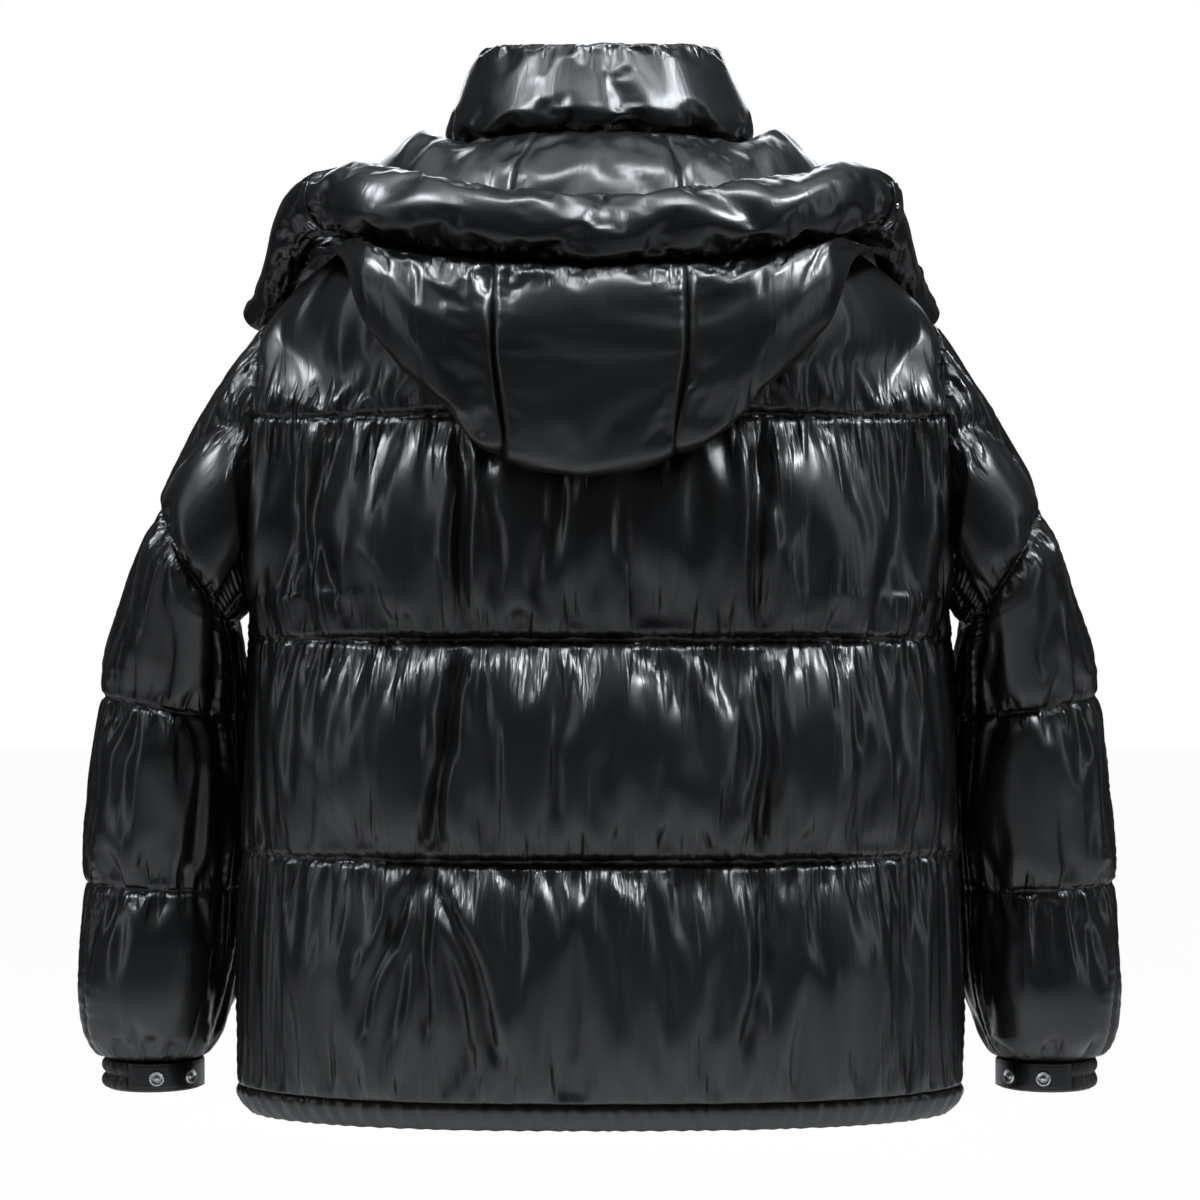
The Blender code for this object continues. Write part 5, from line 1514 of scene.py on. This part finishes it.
# %% Turned snaps
SNAP_RING = ((0.0, 0.30), (0.20, 0.30), (0.30, 0.24), (0.40, 0.13), (0.52, 0.11), (0.60, 0.17), (0.66, 0.31),
             (0.74, 0.39), (0.84, 0.40), (0.92, 0.34), (0.975, 0.20), (1.0, 0.0), (0.9, -0.04), (0.0, -0.04))
SNAP_DOME = ((0.0, 0.72), (0.22, 0.70), (0.42, 0.62), (0.58, 0.48), (0.68, 0.32), (0.76, 0.24), (0.90, 0.20),
             (0.98, 0.12), (1.0, 0.0), (0.9, -0.04), (0.0, -0.04))
CUFF_SNAP_RADIUS = 6.0
HOOD_SNAP_RADIUS = 4.6
STUD_RADIUS = 3.4
STUD_HUB = np.array([171.0, -125.0, -40.0])      # middle of the roll beside the dome stud
CUFF_HUB = np.array([CUFF_CENTRE_X, CUFF_CENTRE_Y, -687.0])


def seat_of(node, hub):
    """Foot and outward axis of one of the frame's snaps: its thinnest direction, away from the hub."""
    obj = bpy.data.objects[node]
    spots = np.array([obj.matrix_world @ v.co for v in obj.data.vertices]) / MM
    middle = (spots.min(0) + spots.max(0)) / 2
    _, _, axes = np.linalg.svd(spots - spots.mean(0), full_matrices=False)
    axis = axes[2] if np.dot(axes[2], middle - hub) > 0 else -axes[2]
    return middle + axis * ((spots - middle) @ axis).min(), axis


def turned_part(name, outline, node, hub, radius):
    """Spins an outline of (radius, height) about an axis; its ends lie on the axis and are closed there."""
    centre, axis = seat_of(node, hub)
    axis = unit(axis)
    side = unit(np.cross(axis, np.array([0.0, 0.3, 1.0])))
    top = np.cross(axis, side)
    turns = np.radians(np.linspace(0.0, 360.0, 48, endpoint=False))
    spokes = side * np.cos(turns)[:, None] + top * np.sin(turns)[:, None]
    profile = np.array(outline) * radius
    loops = centre + profile[1:-1, 0][:, None, None] * spokes[None] + (profile[1:-1, 1][:, None] * axis)[:, None]
    points, faces = capped(loops, [centre + axis * profile[0, 1], centre + axis * profile[-1, 1]])
    add_piece(name, points, faces, "metal", [node])


for side_name, sign in SIDES:
    mirror = np.array([sign, 1.0, 1.0])
    for letter in "ab":
        turned_part(f"ring_snap_{side_name}_{letter}", SNAP_RING, f"cuff_snap_{side_name}_{letter}",
                    CUFF_HUB * mirror, CUFF_SNAP_RADIUS)
    hub = np.array([float(read(RIM_RINGS, "k", key, np.array([STRAP_AT]))[0]) for key in "xyz"])
    turned_part("hood_ring_snap_" + side_name, SNAP_RING, "hood_snap_" + side_name, hub * mirror, HOOD_SNAP_RADIUS)
turned_part("hood_dome_stud", SNAP_DOME, "hood_stud_right", STUD_HUB, STUD_RADIUS)
print("snaps turned:", len([name for name in made_pieces if "snap" in name or "stud" in name]))

# %% Straps under the snaps


def strap(name, grid, out, thick, nodes, slot):
    """A flat doubled strap of nylon: rounded edges, a row of stitches pressed in along them."""
    rows, columns = grid.shape[:2]
    u = np.minimum(np.arange(columns), np.arange(columns)[::-1]) * np.linalg.norm(grid[0, 1] - grid[0, 0])
    v = np.minimum(np.arange(rows), np.arange(rows)[::-1]) * np.linalg.norm(grid[1, 0] - grid[0, 0])
    edge = np.minimum(u[None, :], v[:, None])
    rise = thick * (0.35 + 0.65 * dome(edge, 1.2)) - 0.25 * np.exp(-((edge - 1.9) / 0.5) ** 2)
    made = wall(name, grid + out * rise[..., None], grid, slot, nodes)


for side_name, sign in SIDES:
    mirror = np.array([sign, 1.0, 1.0])
    theta, z = grid_of(np.radians(np.linspace(67.0, 173.0, 110)),
                       np.linspace(CUFF_TOP_Z - 1.0, CUFF_BOTTOM_Z + 1.0, 32))
    base = cuff_spot(theta, z, CUFF_WALL + 0.2)
    out = unit((base - CUFF_HUB) * np.array([1.0, 1.0, 0.0]))
    strap("wrist_strap_" + side_name, base * mirror, out * mirror, 2.1, ["cuff_tab_" + side_name], "shell")
    ks = np.array([STRAP_AT, STRAP_AT + 0.05])
    centre = np.stack([read(RIM_RINGS, "k", key, ks) for key in "xyz"], -1)
    tangent = unit(centre[1] - centre[0])
    up = unit(np.array([0.0, 0.0, 1.0]) - tangent * tangent[2])
    away = np.cross(tangent, up)
    away = -away if away[1] > 0 else away
    radius = float(read(RIM_RINGS, "k", "r", ks)[0]) * 1.02
    angle, shift = grid_of(np.radians(np.linspace(60.0, 152.0, 60)), np.linspace(-4.6, 4.6, 16))
    spoke = up * np.cos(angle)[..., None] + away * np.sin(angle)[..., None]
    base = centre[0] + spoke * (radius + 0.3) + tangent * shift[..., None]
    strap("hood_strap_" + side_name, base * mirror, spoke * mirror, 1.8, ["hood_tab_" + side_name], "shell")
print("straps:", len([name for name in made_pieces if "strap" in name]))

# %% The zip's line and its two tapes
ZIP_STATIONS = np.linspace(0.0, 0.99, 28)
SIDEWAYS = np.array([1.0, 0.0, 0.0])
TAPE_COLUMNS = 12
TAPE_EDGE = FRONT_EDGE_X + 0.4


def zip_line(s):
    """Centre front line, s 0 at the hem and 1 at the collar's top; returns points and outward directions."""
    levels = np.concatenate([np.linspace(HEM_Z - 20.0, YOKE_Z, 15), np.linspace(-104.0, 0.0, 6)])
    phi = np.zeros_like(levels)
    low = body_point(phi, np.maximum(levels, HEM_Z), 1)
    low[:, 2] = np.where(levels < HEM_Z, levels, low[:, 2])
    high = collar_point(np.zeros(6), np.linspace(0.0, 1.0, 7)[1:], 1)
    line = np.concatenate([low, high])
    run = np.concatenate([[0.0], np.cumsum(np.linalg.norm(np.diff(line, axis=0), axis=1))])
    at = np.asarray(s) * run[-1]

    def spot(place):
        return np.stack([0 * place, np.interp(place, run, line[:, 1]), np.interp(place, run, line[:, 2])], -1)

    out = unit(np.cross(SIDEWAYS, spot(at + 2.0) - spot(at - 2.0)))
    return spot(at), out * np.where(out[:, 1:2] < 0, -1.0, 1.0), run[-1]


def sew_tape(name, x0, x1, nodes):
    spot, out, _ = zip_line(ZIP_STATIONS)
    coarse = np.arange(len(ZIP_STATIONS))
    close = np.linspace(0.0, coarse[-1], 3 * coarse[-1] + 1)
    spot = np.stack([np.interp(close, coarse, spot[:, i]) for i in range(3)], -1)
    out = unit(np.stack([np.interp(close, coarse, out[:, i]) for i in range(3)], -1))
    xs = np.linspace(x0, x1, TAPE_COLUMNS)
    ridge = np.where(np.abs(np.abs(xs) - 4.6) < 0.5, 0.25, 0.0)
    top = spot[:, None] + out[:, None] * (1.9 + ridge)[None, :, None] + xs[None, :, None] * SIDEWAYS
    foot = spot[:, None] + out[:, None] * 0.6 + xs[None, ::TAPE_COLUMNS - 1, None] * SIDEWAYS
    made = wall(name, top, foot, "zip_tape", nodes)


sew_tape("zip_band_right", 0.17, TAPE_EDGE, ["zip_tape_right"])
sew_tape("zip_band_left", -TAPE_EDGE, -0.17, ["zip_tape_left"])
print("zip line:", round(zip_line(ZIP_STATIONS)[2]), "mm")

# %% Slider and tab


def rounded_copy(name, node, body, round_by):
    """The frame's own solid with merged corners and rounded edges, as its own piece."""
    source = bpy.data.objects[node]
    mesh = bpy.data.meshes.new_from_object(source)
    mesh.transform(source.matrix_world)
    work = bmesh.new()
    work.from_mesh(mesh)
    bmesh.ops.remove_doubles(work, verts=work.verts, dist=0.00001)
    bmesh.ops.dissolve_limit(work, angle_limit=math.radians(2.0), verts=work.verts, edges=work.edges)
    sharp = [e for e in work.edges if len(e.link_faces) == 2 and e.calc_face_angle(0.0) > math.radians(50.0)]
    bmesh.ops.bevel(work, geom=sharp, offset=round_by * MM, offset_type="OFFSET", segments=2, profile=0.5,
                    affect="EDGES", clamp_overlap=True)
    bmesh.ops.remove_doubles(work, verts=work.verts, dist=0.000005)
    bmesh.ops.recalc_face_normals(work, faces=work.faces)
    work.to_mesh(mesh)
    work.free()
    mesh.polygons.foreach_set("use_smooth", np.zeros(len(mesh.polygons), bool))
    made = placed(name, mesh)
    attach(made, body)
    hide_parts(node)
    made_pieces[name] = made
    finish_of[name] = "metal"


rounded_copy("slider", "zip_slider", JACKET, round_by=0.35)
rounded_copy("pull_tab_plate", "zip_pull", PULL, round_by=0.3)
print("pieces:", len(made_pieces))

# %% [markdown]
# ## What repeats: stitches and zip teeth
#
# A thousand stitches are one stitch, copied along a path. Geometry Nodes do that with named sizes: the path
# is cut into equal steps, a small closed body is put on each step and turned along the thread, and the copies
# are made real at the end so that they can be exported. Zip teeth are made the same way, leaning to the left
# and to the right in turn.

# %% Helpers for node trees


def new_tree(name, inputs):
    tree = bpy.data.node_groups.new(name, "GeometryNodeTree")
    tree.interface.new_socket("Path", in_out="INPUT", socket_type="NodeSocketGeometry")
    for label, value in inputs:
        socket = tree.interface.new_socket(label, in_out="INPUT", socket_type="NodeSocketFloat")
        socket.default_value = value
    tree.interface.new_socket("Geometry", in_out="OUTPUT", socket_type="NodeSocketGeometry")
    return tree, tree.nodes.new("NodeGroupInput"), tree.nodes.new("NodeGroupOutput")


def feed(tree, socket, value):
    """Gives a socket a plain value, or links another node's output to it."""
    if isinstance(value, (int, float, tuple)):
        socket.default_value = value
    else:
        tree.links.new(value, socket)


def maths(tree, kind, *values):
    node = tree.nodes.new("ShaderNodeMath")
    node.operation = kind
    for socket, value in zip(node.inputs, values):
        feed(tree, socket, value)
    return node.outputs["Value"]


def three(tree, x, y, z):
    node = tree.nodes.new("ShaderNodeCombineXYZ")
    for socket, value in zip(node.inputs, (x, y, z)):
        feed(tree, socket, value)
    return node.outputs["Vector"]


def along_path(tree, source, step):
    """Points one step apart on the path, with their rotation along it."""
    curve = tree.nodes.new("GeometryNodeMeshToCurve")
    points = tree.nodes.new("GeometryNodeCurveToPoints")
    points.mode = "LENGTH"
    align = tree.nodes.new("FunctionNodeAlignRotationToVector")
    align.axis = "Z"
    tree.links.new(source, curve.inputs["Mesh"])
    wire(tree, (curve, "Curve", points, "Curve"))
    tree.links.new(step, points.inputs["Length"])
    wire(tree, (points, "Tangent", align, "Vector"))
    return points.outputs["Points"], align.outputs["Rotation"]


def finish_tree(tree, points, shape, rotation, scale, material, target):
    place = tree.nodes.new("GeometryNodeInstanceOnPoints")
    real = tree.nodes.new("GeometryNodeRealizeInstances")
    paint = tree.nodes.new("GeometryNodeSetMaterial")
    paint.inputs["Material"].default_value = material
    tree.links.new(points, place.inputs["Points"])
    tree.links.new(shape, place.inputs["Instance"])
    tree.links.new(rotation, place.inputs["Rotation"])
    if scale is not None:
        tree.links.new(scale, place.inputs["Scale"])
    wire(tree, (place, "Instances", real, "Geometry"), (real, "Geometry", paint, "Geometry"),
         (paint, "Geometry", target, "Geometry"))


print("sockets that every tree starts with: Path and Geometry")

# %% A row of stitches
STITCH_SIZES = {"Stitch Length": 2.6 * MM, "Stitch Gap": 0.9 * MM, "Thread Thickness": 0.42 * MM}


def stitch_tree(material):
    tree, given, wanted = new_tree("stitch_row", STITCH_SIZES.items())
    step = maths(tree, "ADD", given.outputs["Stitch Length"], given.outputs["Stitch Gap"])
    points, rotation = along_path(tree, given.outputs["Path"], step)
    thread = tree.nodes.new("GeometryNodeMeshUVSphere")
    thread.inputs["Segments"].default_value = 6
    thread.inputs["Rings"].default_value = 4
    thread.inputs["Radius"].default_value = 0.5
    thick = given.outputs["Thread Thickness"]
    scale = three(tree, thick, thick, given.outputs["Stitch Length"])
    finish_tree(tree, points, thread.outputs["Mesh"], rotation, scale, material, wanted)
    return tree


print("sizes of a stitch, in metres:", STITCH_SIZES)

# %% A row of zip teeth
TOOTH_SIZES = {"Tooth Pitch": 1.25 * MM, "Tooth Reach": 1.15 * MM, "Tooth Width": 3.4 * MM, "Tooth Height": 1.9 * MM}


def tooth_tree(material):
    tree, given, wanted = new_tree("zip_teeth", TOOTH_SIZES.items())
    points, rotation = along_path(tree, given.outputs["Path"], given.outputs["Tooth Pitch"])
    index = tree.nodes.new("GeometryNodeInputIndex")
    odd = maths(tree, "MODULO", index.outputs["Index"], 2.0)
    lean = maths(tree, "MULTIPLY_ADD", odd, 2.0, -1.0)
    aside = maths(tree, "MULTIPLY", lean, given.outputs["Tooth Reach"])
    move = tree.nodes.new("GeometryNodeSetPosition")
    tree.links.new(points, move.inputs["Geometry"])
    tree.links.new(three(tree, aside, 0.0, 0.0), move.inputs["Offset"])
    foot = tree.nodes.new("GeometryNodeMeshCube")
    size = three(tree, given.outputs["Tooth Width"], given.outputs["Tooth Height"],
                 maths(tree, "MULTIPLY", given.outputs["Tooth Pitch"], 0.82))
    tree.links.new(size, foot.inputs["Size"])
    head = tree.nodes.new("GeometryNodeMeshCylinder")
    head.inputs["Vertices"].default_value = 10
    tree.links.new(maths(tree, "MULTIPLY", given.outputs["Tooth Height"], 0.62), head.inputs["Radius"])
    tree.links.new(maths(tree, "MULTIPLY", given.outputs["Tooth Pitch"], 0.9), head.inputs["Depth"])
    both = tree.nodes.new("GeometryNodeJoinGeometry")
    wire(tree, (foot, "Mesh", both, "Geometry"), (head, "Mesh", both, "Geometry"))
    finish_tree(tree, move.outputs["Geometry"], both.outputs["Geometry"], rotation, None, material, wanted)
    return tree


print("sizes of a tooth, in metres:", TOOTH_SIZES)

# %% Growing a tree on its paths


def grown(name, paths, tree, sizes, nodes=(), body=JACKET):
    """Runs a tree on a set of polylines and keeps the plain mesh that comes out."""
    spots, edges = [], []
    for path in paths:
        first = len(spots)
        spots += (np.asarray(path) * MM).tolist()
        edges += [(first + i, first + i + 1) for i in range(len(path) - 1)]
    line = bpy.data.meshes.new(name + "_path")
    line.from_pydata(spots, edges, [])
    guide = placed(name + "_path", line)
    run = guide.modifiers.new("grow", "NODES")
    run.node_group = tree
    for item in tree.interface.items_tree:
        if item.in_out == "INPUT" and item.name in sizes:
            run[item.identifier] = sizes[item.name]
    bpy.context.view_layer.update()
    graph = bpy.context.evaluated_depsgraph_get()
    mesh = bpy.data.meshes.new_from_object(guide.evaluated_get(graph))
    bpy.data.objects.remove(guide, do_unlink=True)
    made = placed(name, mesh)
    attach(made, body)
    if nodes:
        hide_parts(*nodes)
    return made


print("both trees ask for a path and", len(STITCH_SIZES), "or", len(TOOTH_SIZES), "sizes")

# %% [markdown]
# ## Finishes
#
# Down-proof nylon is woven so tightly, from thread so thin, that it looks polished. The weave itself hardly
# shows; what shows is how the light runs along the small creases that every seam draws into the cloth. So the
# cloth's finish is a dark dye under a smooth face, with fine crinkles that run away from the stitching.
# Groups of nodes are made once and used by several materials.

# %% Helpers for shader nodes


def shader_group(name, inputs, outputs):
    tree = bpy.data.node_groups.new(name, "ShaderNodeTree")
    for label, kind, value in inputs:
        socket = tree.interface.new_socket(label, in_out="INPUT", socket_type="NodeSocket" + kind)
        if value is not None:
            socket.default_value = value
    for label, kind in outputs:
        tree.interface.new_socket(label, in_out="OUTPUT", socket_type="NodeSocket" + kind)
    return tree, tree.nodes.new("NodeGroupInput").outputs, tree.nodes.new("NodeGroupOutput").inputs


def noise(tree, vector, scale, detail, rough=0.5, distortion=0.0):
    node = tree.nodes.new("ShaderNodeTexNoise")
    tree.links.new(vector, node.inputs["Vector"])
    for label, value in (("Scale", scale), ("Detail", detail), ("Roughness", rough), ("Distortion", distortion)):
        feed(tree, node.inputs[label], value)
    return node.outputs["Fac"]


def spread(tree, value, low, high, start=0.0, end=1.0):
    """Maps start..end of a value to low..high."""
    node = tree.nodes.new("ShaderNodeMapRange")
    tree.links.new(value, node.inputs["Value"])
    for label, amount in (("From Min", start), ("From Max", end), ("To Min", low), ("To Max", high)):
        feed(tree, node.inputs[label], amount)
    return node.outputs["Result"]


print("node trees before the shader groups:", len(bpy.data.node_groups))

# %% Weave and crinkles


def weave_group():
    """Plain weave: threads over and under each other, so many to the metre."""
    tree, given, wanted = shader_group("weave", (("Vector", "Vector", None), ("Threads", "Float", 2500.0)),
                                       (("Height", "Float"),))
    split = tree.nodes.new("ShaderNodeSeparateXYZ")
    tree.links.new(given["Vector"], split.inputs["Vector"])
    turns = maths(tree, "MULTIPLY", given["Threads"], 2 * math.pi)
    waves = []
    for label in "XY":
        angle = maths(tree, "MULTIPLY", split.outputs[label], turns)
        waves.append(maths(tree, "SINE", angle))
    tree.links.new(maths(tree, "MULTIPLY", *waves), wanted["Height"])
    return tree


def crinkle_group():
    """Creases that run along the second axis of the cut, and are deepest beside the sewing."""
    tree, given, wanted = shader_group("crinkle", (("Vector", "Vector", None), ("Slice", "Float", 0.0),
                                                   ("Scale", "Float", 160.0), ("Stretch", "Float", 5.0),
                                                   ("Sewn", "Float", 0.0), ("Calm", "Float", 0.35)),
                                       (("Height", "Float"),))
    split = tree.nodes.new("ShaderNodeSeparateXYZ")
    tree.links.new(given["Vector"], split.inputs["Vector"])
    along = maths(tree, "DIVIDE", split.outputs["Y"], given["Stretch"])
    spot = three(tree, split.outputs["X"], along, maths(tree, "MULTIPLY", given["Slice"], 0.12))
    fine_noise = noise(tree, spot, given["Scale"], 2.5, 0.55, 0.25)
    broad_noise = noise(tree, spot, maths(tree, "MULTIPLY", given["Scale"], 0.37), 1.0, 0.5, 0.4)
    line = maths(tree, "ABSOLUTE", maths(tree, "SUBTRACT", fine_noise, 0.5))
    pinch = spread(tree, line, 1.0, 0.0, 0.0, 0.07)
    folds = maths(tree, "ADD", maths(tree, "MULTIPLY", fine_noise, 0.40), broad_noise)
    folds = maths(tree, "ADD", folds, maths(tree, "MULTIPLY", pinch, 0.10))
    lane = three(tree, split.outputs["X"], maths(tree, "MULTIPLY", split.outputs["Y"], 0.04), given["Slice"])
    length = spread(tree, noise(tree, lane, maths(tree, "MULTIPLY", given["Scale"], 0.5), 1.0), 0.25, 0.95, 0.3, 0.7)
    near = spread(tree, given["Sewn"], 0.0, 1.0, length, maths(tree, "ADD", length, 0.3))
    gain = spread(tree, near, given["Calm"], 1.0)
    tree.links.new(maths(tree, "MULTIPLY", folds, gain), wanted["Height"])
    return tree


groups = {"weave": weave_group(), "crinkle": crinkle_group()}
print("groups:", ", ".join(groups))

# %% Tone and scratches


def tone_group():
    """Slow changes of dye and of polish over a surface."""
    tree, given, wanted = shader_group("tone", (("Vector", "Vector", None), ("Dark", "Color", (0.0, 0.0, 0.0, 1.0)),
                                                ("Light", "Color", (1.0, 1.0, 1.0, 1.0)), ("Scale", "Float", 9.0),
                                                ("Rough Low", "Float", 0.3), ("Rough High", "Float", 0.4)),
                                       (("Color", "Color"), ("Roughness", "Float")))
    slow = noise(tree, given["Vector"], given["Scale"], 3.0, 0.6)
    mix = tree.nodes.new("ShaderNodeMix")
    mix.data_type = "RGBA"
    tree.links.new(spread(tree, slow, 0.0, 1.0, 0.3, 0.7), mix.inputs[0])
    tree.links.new(given["Dark"], mix.inputs[6])
    tree.links.new(given["Light"], mix.inputs[7])
    tree.links.new(mix.outputs[2], wanted["Color"])
    tree.links.new(spread(tree, slow, given["Rough Low"], given["Rough High"], 0.3, 0.7), wanted["Roughness"])
    return tree


def scratch_group():
    """Fine scratches of handling in plated metal: a height and a mask."""
    tree, given, wanted = shader_group("scratches", (("Vector", "Vector", None), ("Scale", "Float", 900.0)),
                                       (("Height", "Float"), ("Mask", "Float")))
    split = tree.nodes.new("ShaderNodeSeparateXYZ")
    tree.links.new(given["Vector"], split.inputs["Vector"])
    spot = three(tree, split.outputs["X"], maths(tree, "MULTIPLY", split.outputs["Y"], 0.18), split.outputs["Z"])
    lines = noise(tree, spot, given["Scale"], 2.0, 0.7, 0.6)
    tree.links.new(lines, wanted["Height"])
    tree.links.new(spread(tree, lines, 0.0, 1.0, 0.55, 0.68), wanted["Mask"])
    return tree


groups["tone"], groups["scratches"] = tone_group(), scratch_group()
print("groups:", ", ".join(groups))

# %% Materials made from the groups


def new_material(name, **constants):
    made = bpy.data.materials.new(name)
    made.use_nodes = True
    tree = made.node_tree
    tree.nodes.clear()
    shader = tree.nodes.new("ShaderNodeBsdfPrincipled")
    target = tree.nodes.new("ShaderNodeOutputMaterial")
    wire(tree, (shader, "BSDF", target, "Surface"))
    for label, value in constants.items():
        shader.inputs[label.replace("_", " ")].default_value = value
    return made, tree, shader


def use(tree, group, **values):
    node = tree.nodes.new("ShaderNodeGroup")
    node.node_tree = groups[group]
    for label, value in values.items():
        feed(tree, node.inputs[label.replace("_", " ")], value)
    return node.outputs


def bump(tree, shader, height, distance, strength=1.0):
    node = tree.nodes.new("ShaderNodeBump")
    node.inputs["Distance"].default_value = distance
    node.inputs["Strength"].default_value = strength
    tree.links.new(height, node.inputs["Height"])
    wire(tree, (node, "Normal", shader, "Normal"))


def object_spot(tree):
    return tree.nodes.new("ShaderNodeTexCoord").outputs["Object"]


def cut_spot(tree):
    node = tree.nodes.new("ShaderNodeUVMap")
    node.uv_map = "cut"
    return node.outputs["UV"]


def grey(level, cool=0.0):
    return (level * (1 - cool), level, level * (1 + cool), 1.0)


def toned(name, dark, light, scale, low, high, **constants):
    made, tree, shader = new_material(name, **constants)
    spot = object_spot(tree)
    tone = use(tree, "tone", Vector=spot, Dark=dark, Light=light, Scale=scale, Rough_Low=low, Rough_High=high)
    tree.links.new(tone["Color"], shader.inputs["Base Color"])
    tree.links.new(tone["Roughness"], shader.inputs["Roughness"])
    return made, tree, shader, spot


print("a cool dark grey:", grey(0.0032, 0.10))

# %% Cloth, tape and metal


def nylon(name, dark, light, low, high, scale, stretch, calm, depth, **constants):
    made, tree, shader, spot = toned(name, dark, light, 7.0, low, high, **constants)
    sewn = tree.nodes.new("ShaderNodeAttribute")
    sewn.attribute_name = "sewn"
    split = tree.nodes.new("ShaderNodeSeparateXYZ")
    tree.links.new(spot, split.inputs["Vector"])
    cut = cut_spot(tree)
    creases = use(tree, "crinkle", Vector=cut, Slice=split.outputs["X"], Scale=scale, Stretch=stretch,
                  Sewn=sewn.outputs["Fac"], Calm=calm)
    threads = use(tree, "weave", Vector=cut, Threads=2200.0)
    height = maths(tree, "ADD", creases["Height"], maths(tree, "MULTIPLY", threads["Height"], 0.0006))
    bump(tree, shader, height, depth)
    return made


def woven_tape():
    made, tree, shader, spot = toned("woven_tape", grey(0.008), grey(0.016), scale=60.0, low=0.66, high=0.8)
    threads = use(tree, "weave", Vector=spot, Threads=900.0)
    bump(tree, shader, threads["Height"], 0.00012)
    return made


def nickel():
    made, tree, shader = new_material("nickel", Metallic=1.0)
    spot = object_spot(tree)
    tone = use(tree, "tone", Vector=spot, Dark=grey(0.52), Light=grey(0.66), Scale=120.0, Rough_Low=0.18,
               Rough_High=0.26)
    worn = use(tree, "scratches", Vector=spot, Scale=700.0)
    tree.links.new(tone["Color"], shader.inputs["Base Color"])
    rough = maths(tree, "ADD", tone["Roughness"], maths(tree, "MULTIPLY", worn["Mask"], 0.14))
    tree.links.new(rough, shader.inputs["Roughness"])
    bump(tree, shader, worn["Height"], 0.00002)
    return made


materials = {
    "shell": nylon("black_nylon", grey(0.0032, 0.10), grey(0.0055, 0.06), low=0.27, high=0.35, scale=150.0,
                   stretch=6.0, calm=0.22, depth=0.0018, Specular_IOR_Level=0.62),
    "elastic": nylon("elastic_nylon", grey(0.0050, 0.05), grey(0.0085, 0.04), low=0.40, high=0.50, scale=300.0,
                     stretch=3.0, calm=0.3, depth=0.0010),
    "zip_tape": woven_tape(),
    "zip_coil": toned("moulded_teeth", grey(0.012), grey(0.022), scale=300.0, low=0.3, high=0.42)[0],
    "metal": nickel(),
    "thread": toned("sewing_thread", grey(0.010), grey(0.020), scale=400.0, low=0.45, high=0.6)[0],
}
for name, piece in made_pieces.items():
    piece.data.materials.append(materials[finish_of[name]])
print("materials:", ", ".join(m.name for m in materials.values()))

# %% Stitches and teeth, grown along their paths
stitches, teeth = stitch_tree(materials["thread"]), tooth_tree(materials["zip_coil"])
STITCH_LIFT = 0.1
TEETH_LIFT = 3.35            # from the centre front line of the lining to the teeth


def stitch_paths():
    paths = []

    def along_row(name, row):
        skin, out = panels[name]["skin"], panels[name]["skin_out"]
        paths.append(skin[row, 2:-2] + out[row, 2:-2] * STITCH_LIFT)

    for name in ("back", "front_right", "front_left"):
        for i in np.nonzero(quilted)[0]:
            along_row(name, 2 * i)
    for name in panels:
        if name.startswith("sleeve"):
            for i in np.nonzero(sleeve_quilted)[0]:
                along_row(name, 2 * i)
    return paths


seams = grown("quilting_stitches", stitch_paths(), stitches, STITCH_SIZES)
chain_spot, chain_out = zip_line(np.linspace(0.004, 0.985, 500))[:2]
chain = grown("zip_teeth_row", [chain_spot + chain_out * TEETH_LIFT], teeth, TOOTH_SIZES, ["zip_chain"])
print("stitches:", len(seams.data.vertices) // 20, "teeth:", len(chain.data.vertices) // 28)

# %% Sizes, and the end
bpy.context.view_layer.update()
finished = list(made_pieces.values()) + [seams, chain]
print("triangles:", sum(len(p.vertices) - 2 for o in finished for p in o.data.polygons))
print("all done after", round(time.time() - started, 1), "s")
